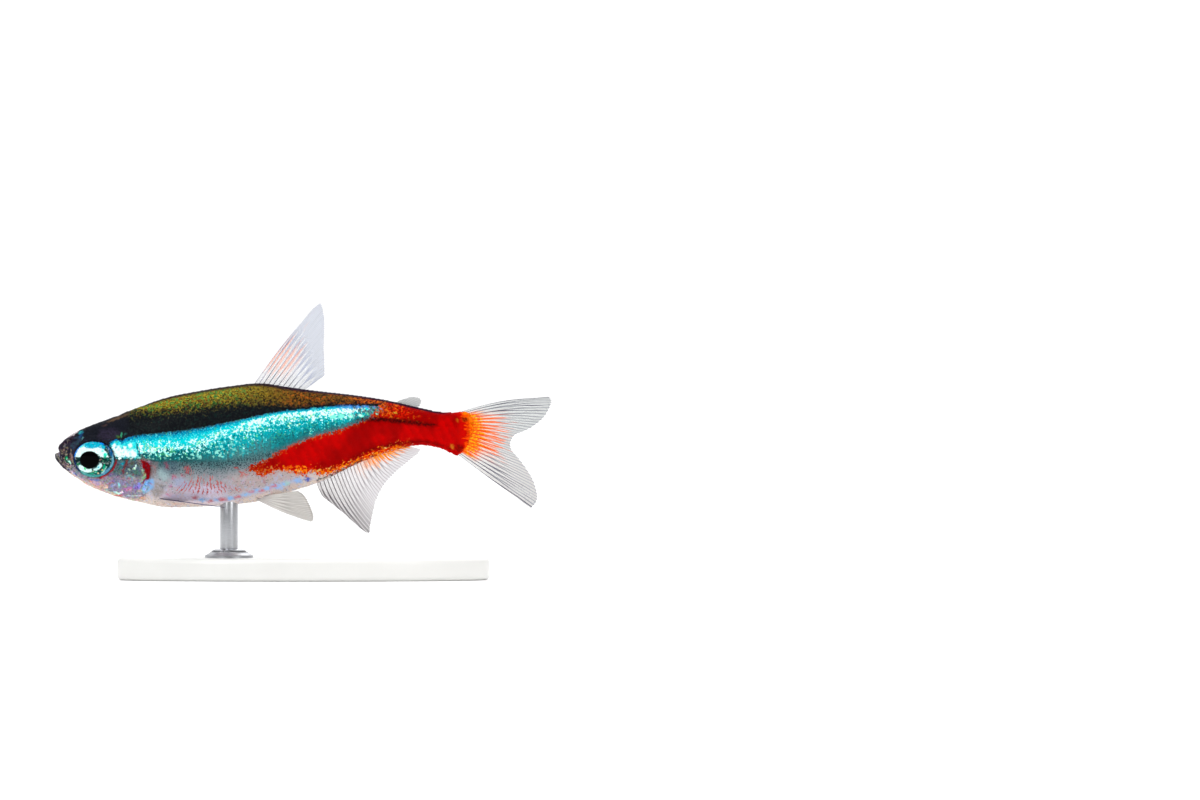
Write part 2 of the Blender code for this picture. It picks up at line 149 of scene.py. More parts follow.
def ink(red, green, blue):
    # a screen colour as the linear colour that the shaders take
    share = np.array([red, green, blue]) / 255
    linear = np.where(share <= 0.04045, share / 12.92, ((share + 0.055) / 1.055) ** 2.4)
    return (*[float(v) for v in linear], 1.0)


# Smooth lines, distances and noise

def smoothLine(points, samples):
    known = np.array(points, float)
    slope = np.gradient(known, axis=0)
    wanted = np.atleast_1d(np.asarray(samples, float)) * (len(known) - 1)
    i = np.clip(wanted.astype(int), 0, len(known) - 2)
    t = (wanted - i)[:, None]
    return (
        known[i] * (2 * t**3 - 3 * t**2 + 1)
        + slope[i] * (t**3 - 2 * t**2 + t)
        + known[i + 1] * (3 * t**2 - 2 * t**3)
        + slope[i + 1] * (t**3 - t**2)
    )


def ease(values, low, high):
    t = np.clip((values - low) / (high - low), 0, 1)
    return t * t * (3 - 2 * t)


def hump(away, wide):
    return np.exp(-((away / wide) ** 2))


def fromLine(spots, line):
    # how far each spot is from a line of points, how far along it, and on which side
    away = np.full(len(spots), 1e9)
    along = np.zeros(len(spots))
    hand = np.ones(len(spots))
    for i in range(len(line) - 1):
        run = line[i + 1] - line[i]
        off = spots - line[i]
        t = np.clip(off @ run / (run @ run), 0, 1)
        gap = np.hypot(off[:, 0] - t * run[0], off[:, 1] - t * run[1])
        closer = gap < away
        away = np.where(closer, gap, away)
        along = np.where(closer, i + t, along)
        hand = np.where(closer, np.sign(run[0] * off[:, 1] - run[1] * off[:, 0]), hand)
    return away, along / (len(line) - 1), hand


def insideBy(spots, outline):
    # distance to a closed outline, above 0 inside it
    closed = np.vstack([outline, outline[:1]])
    away, _, _ = fromLine(spots, closed)
    inside = np.zeros(len(spots), bool)
    for (ax, az), (bx, bz) in zip(closed[:-1], closed[1:]):
        if az == bz:
            continue
        spans = (az > spots[:, 1]) != (bz > spots[:, 1])
        crossing = (bx - ax) * (spots[:, 1] - az) / (bz - az) + ax
        inside ^= spans & (spots[:, 0] < crossing)
    return np.where(inside, away, -away)


def grain(spots, size, seed):
    # smooth noise about 0, with features of this size in mm
    draw = np.random.default_rng(seed)
    total = np.zeros(len(spots))
    waves = 12
    for _ in range(waves):
        heading = draw.normal(size=spots.shape[1])
        heading *= draw.uniform(0.7, 1.5) * 2 * math.pi / size / np.linalg.norm(heading)
        total += np.sin(spots @ heading + draw.uniform(0, 2 * math.pi))
    return total / math.sqrt(waves / 2)


# The body's surface, by the same named sections as the solids

body = {
    # back x, back z, belly x, belly z, half width
    "stations": [
        (-18.02, 8.98, -18.02, 8.86, 0.00),
        (-17.82, 9.60, -17.79, 8.54, 0.50),
        (-17.42, 10.07, -17.30, 8.02, 0.80),
        (-16.60, 10.67, -16.45, 7.38, 1.16),
        (-15.30, 11.25, -15.30, 6.72, 1.48),
        (-13.60, 11.87, -13.60, 6.09, 1.74),
        (-11.85, 12.52, -11.85, 5.64, 1.93),
        (-9.90, 13.19, -9.90, 5.32, 2.03),
        (-7.60, 13.66, -7.60, 5.35, 2.02),
        (-5.30, 14.02, -5.30, 5.50, 1.92),
        (-3.10, 14.22, -3.10, 5.78, 1.77),
        (-1.00, 13.92, -1.00, 6.42, 1.58),
        (1.20, 13.64, 1.20, 7.20, 1.37),
        (3.60, 13.37, 3.60, 8.34, 1.15),
        (6.00, 13.00, 6.00, 9.28, 0.94),
        (8.20, 12.50, 8.20, 9.80, 0.77),
        (9.90, 12.16, 9.80, 9.62, 0.62),
        (11.10, 12.14, 10.62, 9.26, 0.44),      # the flesh thins to a wedge over the tail's rays
        (11.70, 12.20, 11.12, 9.06, 0.29),
        (12.06, 11.96, 11.52, 9.30, 0.19),
        (12.30, 11.50, 11.96, 9.90, 0.10),
        (12.38, 11.10, 12.26, 10.60, 0.00),
    ],
    "belt": 0.46,               # the widest line's place between back and belly
    "backRound": 2.25,
    "bellyRound": 2.05,
    "gillCentre": (-14.21, 8.60),
    "gillReach": (3.22, 4.50),
    "gillProud": 0.14,
    "eyeCentre": (-15.12, 1.28, 8.76),
    "eyeReach": (1.50, 0.52, 1.30),
    "eyeTilt": (0.20, 0.11),    # how much farther out the eye lies towards the tail and the back
}


def onBody(share, turn):
    # share runs from snout to tail, turn from the back (0) round the right side (+) or the left (-)
    line = smoothLine(body["stations"], share)
    back, belly, wide = line[:, 0:2], line[:, 2:4], np.maximum(line[:, 4], 0)
    belt = back + (belly - back) * body["belt"]
    rise, aside = np.cos(turn), np.sin(turn)
    upper = rise > 0
    bow = np.where(upper, body["backRound"], body["bellyRound"])
    to = np.where(upper[:, None], back, belly)
    place = belt + (to - belt) * (np.abs(rise) ** (2 / bow))[:, None]
    out = wide * np.sign(aside) * np.abs(aside) ** (2 / bow)
    return np.stack([place[:, 0], out, place[:, 1]], axis=1)


bodyLines = smoothLine(body["stations"][:19], np.linspace(0, 1, 601))


def backHeight(x):
    return np.interp(x, bodyLines[:, 0], bodyLines[:, 1])


def bellyHeight(x):
    return np.interp(x, bodyLines[:, 2], bodyLines[:, 3])


def flank(x, z):
    # the skin's distance from the middle plane at a place of the side view
    top, bottom = backHeight(x), bellyHeight(x)
    belt = bottom + (top - bottom) * (1 - body["belt"])
    upper = z > belt
    bow = np.where(upper, body["backRound"], body["bellyRound"])
    off = np.where(upper, (z - belt) / (top - belt), (belt - z) / (belt - bottom))
    wide = np.interp(x, bodyLines[:, 0], bodyLines[:, 4])
    return wide * (1 - np.clip(off, 0, 1) ** bow) ** (1 / bow)


def behindGill(x, z):
    # how far a place is behind the hind edge of the gill cover, below 0 on the head
    cx, cz = body["gillCentre"]
    rx, rz = body["gillReach"]
    return x - cx - rx * np.sqrt(np.clip(1 - ((z - cz) / rz) ** 2, 0, 1))


def behindCoat(x, z):
    # the same for the front edge of the scales, which lies farther forward on the nape
    return behindGill(x, z) + 1.1 * np.clip(z - 10.2, 0, 1.9)


# Mesh and material helpers

def startPiece(add, **settings):
    bpy.ops.object.select_all(action="DESELECT")
    add(**settings)
    bpy.ops.object.transform_apply(location=True, rotation=True, scale=True)
    return bpy.context.object


def readPoints(mesh):
    points = np.empty(len(mesh.vertices) * 3)
    mesh.vertices.foreach_get("co", points)
    return points.reshape(-1, 3)


def writePoints(mesh, points):
    mesh.vertices.foreach_set("co", np.asarray(points, np.float32).ravel())
    mesh.update()


def normalsOf(mesh):
    normals = np.empty(len(mesh.vertices) * 3)
    mesh.vertex_normals.foreach_get("vector", normals)
    return normals.reshape(-1, 3)


def chooseOnly(piece):
    bpy.ops.object.select_all(action="DESELECT")
    piece.select_set(True)
    bpy.context.view_layer.objects.active = piece


def faceOutwards(piece):
    chooseOnly(piece)
    bpy.ops.object.mode_set(mode="EDIT")
    bpy.ops.mesh.select_all(action="SELECT")
    bpy.ops.mesh.normals_make_consistent(inside=False)
    bpy.ops.object.mode_set(mode="OBJECT")


def note(mesh, name, values):
    made = mesh.attributes.new(name, "FLOAT", "POINT")
    made.data.foreach_set("value", np.asarray(values, np.float32))


def dye(mesh, name, colours):
    made = mesh.attributes.new(name, "FLOAT_COLOR", "POINT")
    made.data.foreach_set("color", np.asarray(colours, np.float32).ravel())


def applyAll(piece):
    chooseOnly(piece)
    for step in list(piece.modifiers):
        bpy.ops.object.modifier_apply(modifier=step.name)


def thicken(piece, thick, group=""):
    wall = piece.modifiers.new("thickness", "SOLIDIFY")
    wall.thickness = thick
    wall.offset = 0
    wall.vertex_group = group
    applyAll(piece)


def easeEdges(piece, wide, segments, overDegrees):
    edge = piece.modifiers.new("eased edge", "BEVEL")
    edge.width = wide
    edge.segments = segments
    edge.limit_method = "ANGLE"
    edge.angle_limit = math.radians(overDegrees)
    applyAll(piece)


def finishPiece(piece, name, material, slot, *nodes, smoothUnder=180):
    # scales the mesh from mm to metres, gives it its finish and tells the frame what it stands for
    piece.name = name
    piece.data.name = name
    writePoints(piece.data, readPoints(piece.data) * mm)
    piece.data.materials.clear()
    piece.data.materials.append(material)
    chooseOnly(piece)
    bpy.ops.object.shade_smooth()
    if smoothUnder < 180:
        bpy.ops.object.shade_smooth_by_angle(angle=math.radians(smoothUnder))
    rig.ride(piece, "root")
    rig.slot(piece, slot)
    if nodes:
        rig.replaces(piece, *nodes)
    piece.data.calc_loop_triangles()
    print(f"{name}: {len(piece.data.loop_triangles)} triangles")
    return piece


building = {"tree": None}     # the nodes that are being laid out


def startMaterial(name, inputs):
    made = bpy.data.materials.new(name)
    made.use_nodes = True
    building["tree"] = made.node_tree
    shader = made.node_tree.nodes["Principled BSDF"]
    plug(shader, inputs)
    return made, shader


class Signal:
    # a number or colour that the shader works out at each spot, so that sums are written as sums
    def __init__(self, socket):
        self.socket = socket

    def __add__(self, other):
        return maths("ADD", self, other)

    def __sub__(self, other):
        return maths("SUBTRACT", self, other)

    def __rsub__(self, other):
        return maths("SUBTRACT", other, self)

    def __mul__(self, other):
        return maths("MULTIPLY", self, other)

    def __truediv__(self, other):
        return maths("DIVIDE", self, other)

    def __abs__(self):
        return maths("ABSOLUTE", self)

    def __round__(self):
        return maths("ROUND", self)


def plug(node, inputs):
    for key, value in inputs.items():
        if isinstance(value, Signal):
            building["tree"].links.new(value.socket, node.inputs[key])
        else:
            node.inputs[key].default_value = value


def addNode(kind, inputs, out=0, **settings):
    made = building["tree"].nodes.new("ShaderNode" + kind)
    for key, value in settings.items():
        setattr(made, key, value)
    plug(made, inputs)
    return Signal(made.outputs[out])


def maths(how, a, b=0.0):
    return addNode("Math", {0: a, 1: b}, operation=how)


def larger(a, b):
    return maths("MAXIMUM", a, b)


def smaller(a, b):
    return maths("MINIMUM", a, b)


def sine(value):
    return maths("SINE", value)


def blend(share, under, over, how="MIX"):
    return addNode("Mix", {0: share, 6: under, 7: over}, 2, data_type="RGBA", blend_type=how)


def stepUp(value, low, high):
    return addNode("MapRange", {0: value, 1: low, 2: high}, interpolation_type="SMOOTHSTEP")


def ranged(value, low, high, least, most):
    return addNode("MapRange", {0: value, 1: low, 2: high, 3: least, 4: most})


def ramp(value, stops):
    made = addNode("ValToRGB", {0: value})
    marks = made.socket.node.color_ramp.elements
    marks.remove(marks[1])
    marks[0].position, marks[0].color = stops[0]
    for place, colour in stops[1:]:
        marks.new(place).color = colour
    return made


def axesOf(value):
    made = addNode("SeparateXYZ", {0: value}).socket.node
    return [Signal(socket) for socket in made.outputs]


def joined(*parts):
    return addNode("CombineXYZ", dict(enumerate(parts)))


def reading(name, output="Fac"):
    return addNode("Attribute", {}, output, attribute_name=name)


def inMillimetres(stretch=(1, 1, 1)):
    # Object coordinates in mm, stretched where a pattern runs one way
    return addNode("Mapping", {0: addNode("TexCoord", {}, "Object"), 3: [1000 * v for v in stretch]})


def noise(where, perMm, detail=2.0, rough=0.5):
    return addNode("TexNoise", {"Vector": where, "Scale": perMm, "Detail": detail, "Roughness": rough})


def cells(where, perMm):
    return addNode("TexVoronoi", {"Vector": where, "Scale": perMm}, "Color")


def bump(shader, height, deepMm, strength):
    lift = addNode("Bump", {"Height": height, "Strength": strength, "Distance": deepMm * mm})
    plug(shader, {"Normal": lift})


# Camera, light and backdrop

view = {
    "centre": (21.496, 13.05),  # x and z that the middle of the photograph looks at
    "lens": 300.0,
    "sensor": 36.0,
    "whole": 87.0,              # mm across the frame in the fish's plane
}


def makeCamera():
    lens = bpy.data.cameras.new("camera")
    lens.lens = view["lens"]
    lens.sensor_width = view["sensor"]
    lens.sensor_fit = "HORIZONTAL"
    lens.clip_start = 0.02
    lens.clip_end = 20
    made = bpy.data.objects.new("camera", lens)
    bpy.context.scene.collection.objects.link(made)
    away = view["lens"] / view["sensor"] * view["whole"]
    x, z = view["centre"]
    made.location = (x * mm, -away * mm, z * mm)
    made.rotation_euler = (math.radians(90), 0, 0)
    bpy.context.scene.camera = made


lights = {
    # place, size and power
    "over": {"place": (0.00, -0.04, 0.45), "size": 0.30, "power": 0.50},
    "front_left": {"place": (-0.26, -0.38, 0.26), "size": 0.22, "power": 0.72},
    "front_right": {"place": (0.30, -0.38, 0.20), "size": 0.22, "power": 0.46},
    "behind": {"place": (0.05, 0.30, 0.24), "size": 0.30, "power": 0.20},
    "far_floor": {"place": (0.02, 0.98, 0.90), "aim": (0.02, 1.02, 0.0), "size": 0.70, "power": 2.40},
}
sky = {"dark": 0.14, "bright": 1.04, "from": -0.45, "to": 0.75}


def makeLights():
    for name, look in lights.items():
        lamp = bpy.data.lights.new(name, "AREA")
        lamp.shape = "SQUARE"
        lamp.size = look["size"]
        lamp.energy = look["power"]
        made = bpy.data.objects.new(name, lamp)
        bpy.context.scene.collection.objects.link(made)
        place = np.array(look["place"])
        made.location = place
        run = np.array(look.get("aim", (0.0, 0.0, 0.010))) - place
        made.rotation_euler = (
            math.acos(-run[2] / np.linalg.norm(run)), 0, math.atan2(run[1], run[0]) - math.pi / 2
        )
    # the room is bright above and behind the model, and dark behind the camera
    world = bpy.data.worlds.new("studio")
    world.use_nodes = True
    building["tree"] = world.node_tree
    toward = axesOf(addNode("TexCoord", {}, "Generated"))
    height = toward[2] * 0.8 + toward[1] * 0.45
    strength = ranged(height, sky["from"], sky["to"], sky["dark"], sky["bright"])
    plug(world.node_tree.nodes["Background"], {0: (1.0, 1.0, 1.0, 1.0), 1: strength})
    bpy.context.scene.world = world
    bpy.context.scene.view_settings.view_transform = "Standard"


def makeBackdrop():
    look = {"half": 2.4, "bend": 0.20, "radius": 2.6}
    floor = startPiece(bpy.ops.mesh.primitive_grid_add, x_subdivisions=24, y_subdivisions=96, size=2)
    points = readPoints(floor.data) * look["half"]
    run = np.clip(points[:, 1] - look["bend"], 0, look["radius"] * math.pi / 2)
    turned = run / look["radius"]
    points[:, 1] = np.where(run > 0, look["bend"] + look["radius"] * np.sin(turned), points[:, 1])
    points[:, 2] = look["radius"] * (1 - np.cos(turned))
    writePoints(floor.data, points)
    floor.name = "backdrop"
    bpy.ops.object.shade_smooth()
    paper, shader = startMaterial("backdrop paper", {"Roughness": 0.75, "Specular IOR Level": 0.1})
    fibre = noise(inMillimetres(), 1.2, detail=3)
    plain = blend(fibre, ink(249, 249, 249), ink(253, 253, 253))
    plug(shader, {"Base Color": plain})
    floor.data.materials.append(paper)
    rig.stage(floor)


# Markings: lines of the side view, as columns and rows of the photograph

marks = {
    "stripeTop": [(100, 441), (111, 441), (117, 439.6), (122, 440.6), (126, 438.7), (131, 437),
        (138, 435.2), (145, 434.4), (160, 433), (190, 429.6), (220, 424), (250, 417.6), (280, 411.4),
        (310, 408.4), (340, 405.6), (370, 405), (400, 405)],
    "stripeCore": [(100, 449), (118, 449), (130, 448.5), (160, 446), (190, 443), (220, 433), (250, 423.4),
        (280, 416), (310, 413), (340, 411), (370, 409), (400, 409)],
    "coreFoot": [(100, 456), (118, 456), (130, 456), (138, 455), (147, 452), (160, 450.5), (190, 450),
        (220, 443), (250, 435), (280, 423), (310, 418), (340, 416), (370, 412), (400, 411)],
    "stripeFoot": [(100, 459), (118, 459), (130, 459), (147, 459), (160, 461), (190, 460), (220, 461),
        (250, 456), (280, 448.6), (310, 436), (340, 427), (370, 418), (400, 412)],
    "oliveFoot": [(128, 408), (145, 411), (160, 411.5), (190, 408), (220, 404.5), (250, 403), (280, 406),
        (300, 407), (330, 405), (370, 404.5), (400, 404.5)],
    # the stripe's front end, behind the eye
    "stripeFront": [(112, 438), (109.4, 442.5), (110.6, 446.4), (113.2, 450.6), (116.4, 459), (118, 462)],
    "gillGap": [(136.6, 443.5), (138.4, 447.5), (140.6, 451.5), (143.0, 457.5), (145, 461)],
    "redArea": [(248.4, 468), (251, 465.4), (258, 463), (266, 459.8), (276, 454), (283, 449.6),
        (298, 441.4), (318, 435.6), (340, 429.4), (355, 423.6), (368, 417.4), (376, 410), (384, 402),
        (392, 390), (480, 380), (500, 420), (480, 470), (440, 455), (410, 448), (390, 452.5), (370, 460),
        (350, 468), (335, 473.5), (318, 475), (311, 473), (306, 475.4), (294, 473.4), (279, 470.6),
        (266, 475.4), (257, 473.6), (250, 471.6)],
    "redFoot": [(240, 470), (272, 474), (300, 474.5), (318, 476), (335, 473.5), (350, 468), (370, 460),
        (390, 452.5), (410, 448), (440, 449), (470, 456)],
}
markLines = {name: seen(places) for name, places in marks.items()}


def heightOf(name, x):
    line = markLines[name]
    smooth = smoothLine(line, np.linspace(0, 1, 8 * len(line)))
    return np.interp(x, smooth[:, 0], smooth[:, 1])


# Paint on the head and small marks elsewhere. Each layer is a patch (closed), a stroke (a line with a half
# width) or a spot (centre and reach, turned by so many degrees), in columns and rows of the photograph.

def patch(outline, soft, colour=None, share=1.0):
    return {"patch": outline, "soft": soft, "ink": colour, "share": share}


def stroke(line, halfWide, soft, colour, share=1.0):
    return {"stroke": line, "wide": halfWide, "soft": soft, "ink": colour, "share": share}


def spot(column, row, across, up, soft, colour, share=1.0, turn=0.0):
    at, reach = (column, row), (across, up)
    return {"spot": at, "reach": reach, "turn": turn, "soft": soft, "ink": colour, "share": share}


gillLayers = [
    # red and blue at the gill's hind edge, on both sides of it
    patch([(140.6, 458.6), (144.7, 460.6), (149.7, 463.4), (151, 468), (151.2, 474), (150.2, 478),
        (147, 479.4), (143.6, 482), (141.6, 483), (143.6, 479.6), (146.4, 476.6), (146.2, 473.6),
        (144.4, 470.6), (142.6, 467.6), (141.6, 463)], 1, (128, 0, 8)),
    spot(148.2, 485.4, 8, 5, 1.8, (124, 176, 230), 0.95, 54),
    spot(146.2, 489.4, 3.4, 2.8, 2, (166, 206, 230), 0.8, 40),
    stroke([(143.4, 481.4), (147, 479.2)], 0.6, 0.8, (124, 84, 160), 0.8),
    spot(150.7, 483.6, 1.1, 1.1, 0.8, (140, 92, 164)),
    stroke([(152.6, 464), (154.6, 468), (154.8, 474)], 0.8, 1.6, (164, 110, 108), 0.6),
    spot(142.6, 498, 3.4, 1.4, 1.4, (228, 160, 128), 0.8, -10),
    spot(144.8, 500.6, 1, 1, 0.6, (250, 252, 250)),
]
headLayers = [
    # grounds
    patch([(40, 430), (40, 520), (160, 520), (166, 500), (156, 470), (150, 440), (60, 436)],
        2, (142, 136, 148)),
    patch([(40, 468), (62, 466), (84, 480), (104, 490), (128, 498), (165, 499), (165, 530), (40, 530)],
        4, (212, 190, 182)),
    patch([(40, 484), (66, 472), (84, 484), (104, 494), (128, 502), (165, 506), (165, 530), (40, 530)],
        3, (232, 214, 206)),
    patch([(72, 430), (78, 424), (100, 412), (128, 403), (165, 392), (170, 434), (135, 439), (120, 446),
        (114, 452), (108, 452), (94, 450), (82, 450), (77, 454), (71, 452), (68, 446)], 1.8, (22, 24, 32)),
    patch([(100, 430), (112, 428), (120, 432), (118, 438), (108, 441), (98, 437)], 6, (44, 38, 56), 0.7),
    patch([(50, 452), (55, 440), (63, 432), (72, 430), (77, 440), (76, 450), (75, 460), (72, 465),
        (66, 462), (58, 452)], 2.6, (42, 34, 48)),
    patch([(112, 457), (141, 457), (144, 464), (142, 477), (130, 476), (120, 475), (108, 476),
        (110, 466)], 5, (72, 100, 104), 0.9),
    patch([(106, 481), (114, 477), (124, 479), (134, 482), (139, 490), (128, 494), (112, 490)],
        5, (138, 130, 162), 0.8),
    patch([(114, 455), (152, 455), (153, 460.6), (140, 459.6), (114, 461)], 2, (14, 84, 84)),
    patch([(136, 457), (150, 458), (152, 470), (152, 482), (146, 482), (140, 470)],
        3, (128, 110, 112), 0.8),
    patch([(86, 479), (98, 481), (108, 485), (106, 491), (94, 487)], 3.4, (204, 158, 148), 0.8),
    # crown
    stroke([(66, 437), (71, 435), (78, 431.4)], 1.1, 1, (186, 178, 182)),
    # painted glint: a teal highlight on the crown
    spot(80.6, 432.6, 2.8, 1.6, 1, (34, 130, 140), 1, 30),
    spot(81.2, 435, 3, 1.4, 1.6, (28, 68, 116), 0.8, 60),
    patch([(71, 441), (74, 437.6), (79, 437), (83, 438.6), (80, 442), (76, 446), (73, 450), (70.4, 446)],
        2.4, (40, 62, 78), 0.85),
    patch([(69, 441), (74, 438.4), (78.6, 438.6), (76, 441.4), (71, 443.4)], 1.6, (20, 18, 34), 0.9),
    stroke([(83.4, 436.4), (82.2, 439.8)], 0.8, 1, (96, 150, 160), 0.6),
    # painted glint: a green highlight on the crown behind the eye
    stroke([(121.4, 437.6), (121.4, 434.8), (121.8, 432.8)], 0.8, 0.8, (58, 160, 118), 0.9),
    stroke([(115.4, 436.2), (119, 436.6)], 0.9, 1, (52, 98, 52), 0.8),
    spot(118.8, 437.4, 1.3, 0.9, 0.8, (74, 100, 20), 0.8),
    spot(125.4, 434.2, 1.6, 1, 1, (24, 92, 84), 0.7, 30),
    spot(138, 433.8, 2.4, 0.9, 1, (28, 86, 72), 0.6, 20),
    stroke([(108, 422), (114, 419.4), (124, 415.6), (134, 411)], 1, 1.8, (96, 74, 54), 0.8),
    spot(104.4, 425.4, 2.6, 1.2, 1.4, (60, 44, 44), 0.8, 20),
    # snout, its beige rings and dark spots, with the nostrils' rims
    spot(65.8, 449.6, 3.2, 2.6, 1.4, (126, 110, 98), 0.75, 20),
    spot(66.2, 449.8, 1.2, 1, 0.8, (40, 32, 36)),
    spot(69, 450.6, 1.2, 2.2, 1, (30, 26, 38), 1, -10),
    spot(64.6, 445, 1.9, 1.2, 1, (122, 106, 106), 0.8, 50),
    spot(67.6, 441.4, 2.4, 1.1, 1, (112, 98, 100), 0.8, 50),
    spot(62, 447, 1.2, 1.8, 1, (38, 30, 44), 0.8, -15),
    spot(60.6, 450.4, 0.9, 1.7, 0.8, (116, 92, 78), 0.8, 10),
    spot(62.6, 453, 1.3, 1.6, 0.8, (136, 120, 94), 0.8, 30),
    spot(63.8, 455, 1, 1.4, 0.7, (34, 26, 30), 0.9),
    spot(66.2, 454.4, 1.4, 1.1, 0.7, (178, 172, 150), 0.9),
    spot(68.6, 454.2, 0.8, 1.5, 0.7, (40, 34, 40), 0.9, -10),
    stroke([(70.8, 449.6), (71.4, 454.6), (72.4, 459.8), (74.6, 464), (78, 468.2), (82, 471.6)],
        1.3, 1.2, (150, 134, 120), 0.8),
    spot(65, 458.6, 1.6, 1.2, 0.9, (164, 150, 120), 0.8, -60),
    # painted glint on the upper jaw: a white-cyan highlight edged in green
    stroke([(65.6, 456.6), (67, 460.6), (69.4, 464.4)], 2, 0.8, (16, 112, 70)),
    stroke([(67.2, 458.6), (69, 461.4), (70.8, 463.8)], 1.2, 0.6, (206, 255, 238)),
    spot(66.6, 457.8, 0.9, 0.9, 0.6, (20, 214, 132)),
    # jaw and chin
    stroke([(56.6, 453.8), (58, 457.6), (61, 461.6), (64.6, 465), (68.4, 467.6)],
        1.8, 1.2, (124, 116, 112)),
    stroke([(58.6, 455.4), (60.6, 459), (63.2, 462.2)], 0.6, 0.8, (58, 48, 56), 0.9),
    stroke([(55.2, 455), (56.2, 458.8), (59.2, 463.4), (63.6, 467.6), (67.4, 470.4)], 1.3, 1, (48, 38, 54)),
    spot(68.8, 465.8, 2.2, 1.4, 1, (196, 178, 150), 0.9, -40),
    stroke([(55, 456), (55.4, 452.8), (57.4, 450.8), (60, 451.6)], 0.9, 1, (52, 42, 58)),
    spot(65.4, 466.6, 1.4, 0.9, 0.8, (96, 74, 66), 0.8, -40),
    # painted shade: a near-black line in the mouth's slit between the lips
    stroke([(59.1, 451.8), (60.2, 454.6), (62.2, 457.6), (63.2, 460.6), (66, 462.6)],
        0.55, 0.6, (16, 12, 18)),
    stroke([(72.6, 462.6), (75.4, 467.6), (79, 471)], 0.6, 0.8, (74, 60, 60), 0.8),
    spot(69, 470.2, 2, 0.9, 0.8, (66, 66, 112), 0.9, -35),
    spot(75.2, 473.9, 2.3, 0.9, 0.8, (76, 98, 180), 0.9, -38),
    spot(79, 477.2, 1.8, 0.8, 0.8, (122, 160, 196), 0.85, -30),
    spot(72.4, 472.6, 2.6, 0.7, 0.8, (200, 200, 222), 0.7, -38),
    spot(88.2, 477, 0.9, 0.8, 0.7, (70, 72, 88), 0.8),
    stroke([(90.4, 479.2), (95, 480.4), (99.6, 480.6)], 0.9, 1, (100, 122, 196), 0.85),
    spot(97, 483.4, 4.6, 1.4, 1.6, (180, 168, 206), 0.7, -12),
    # behind and below the eye
    # painted shade: a dark line in the groove along the eye's rear and lower rim
    stroke([(113.2, 453), (113.6, 460), (110.8, 467.6), (105.4, 473.6), (98, 477)], 0.7, 0.8, (24, 12, 22)),
    stroke([(116, 458.4), (115.2, 463.6), (112, 469.8), (107.2, 474.2), (101.6, 477.2), (97, 478.2)],
        1.3, 1.4, (138, 14, 22), 0.92),
    spot(103.6, 476.4, 2.6, 0.8, 0.9, (190, 34, 44), 0.8, 28),
    stroke([(109.4, 476.2), (112.6, 473.4)], 1.2, 1.4, (116, 82, 150), 0.7),
    spot(113.4, 473.8, 1.6, 1.2, 1.2, (96, 88, 124), 0.7, 40),
    spot(123, 463.4, 2.5, 1.4, 1, (4, 138, 156), 0.95, 10),
    spot(121, 467.4, 1.6, 1.6, 1.2, (40, 118, 124), 0.8),
    stroke([(127.6, 458.4), (126.2, 463.6), (124.6, 468.6), (122.8, 474)], 1.2, 1.4, (126, 46, 52), 0.9),
    spot(127.8, 465.6, 1.4, 2.4, 1.2, (84, 46, 56), 0.6, -14),
    stroke([(122.8, 474), (124.6, 478.4), (128.4, 482), (134, 484.6)], 0.6, 1.2, (140, 92, 110), 0.6),
    spot(133.2, 463.4, 3, 1.8, 1.6, (84, 66, 50), 0.7),
    # painted glint: a white dash on the cheek
    stroke([(136.2, 465.2), (135.6, 467.2), (133.2, 469)], 0.8, 0.7, (200, 244, 232), 0.95),
    stroke([(127.4, 467.6), (131, 468.4), (135.4, 469.6)], 0.5, 0.7, (44, 36, 38), 0.8),
    # painted glint: a small pale green highlight on the cheek
    spot(128.8, 469.4, 1.2, 0.7, 0.6, (190, 232, 206), 0.9, -20),
    spot(127, 472.8, 1, 0.8, 0.8, (196, 200, 170), 0.7, 20),
    stroke([(140.8, 466.4), (142.6, 471.2), (145.2, 474.4), (143.6, 478.4), (140.2, 481.4)],
        1.1, 1.4, (136, 170, 150), 0.8),
    spot(144.4, 472.8, 0.8, 1.4, 0.8, (120, 96, 30), 0.8, 10),
    stroke([(126.6, 478.6), (126.8, 476.2), (129.6, 475.2), (132.4, 476.8), (133.2, 479.6)],
        0.8, 0.9, (122, 176, 172), 0.85),
    spot(129.4, 478.6, 1.6, 1, 0.9, (150, 84, 104), 0.8, -20),
    spot(133.6, 474.4, 1.4, 1, 1, (140, 56, 70), 0.8),
    spot(118.4, 476, 0.9, 0.8, 0.7, (44, 44, 84), 0.85),
    spot(118.8, 468.8, 1.1, 0.8, 0.8, (34, 72, 74), 0.8, 30),
    spot(115.6, 473, 0.8, 0.7, 0.7, (56, 62, 76), 0.8),
    spot(122.6, 479.8, 0.9, 0.8, 0.8, (70, 60, 84), 0.7),
    # painted glint: a cyan streak on the cheek
    stroke([(119.1, 482), (119, 487.2)], 0.8, 0.6, (150, 240, 232), 0.95),
    spot(113.6, 485.2, 3.6, 1.6, 1.4, (150, 170, 206), 0.8, 8),
    spot(110.6, 483, 1.6, 1, 1.2, (198, 104, 112), 0.6),
    spot(105.2, 487, 2, 1.3, 1.2, (226, 206, 180), 0.7),
    spot(107.4, 490.4, 2, 0.9, 1, (190, 214, 206), 0.7, -20),
    # painted glint: a white highlight low on the cheek
    stroke([(114.2, 491.6), (118, 493.6), (122.2, 491.8)], 1.3, 0.7, (206, 252, 242)),
    spot(121.6, 491.6, 1.8, 1.1, 0.6, (244, 255, 252), 1, 10),
    stroke([(114.6, 495), (122.6, 495.6)], 0.7, 0.9, (206, 66, 66), 0.85),
    stroke([(127, 495.6), (134, 495.6), (141.6, 494.4)], 0.9, 1, (200, 212, 226), 0.85),
    spot(125.6, 486, 1.1, 1.6, 1, (166, 168, 168), 0.7),
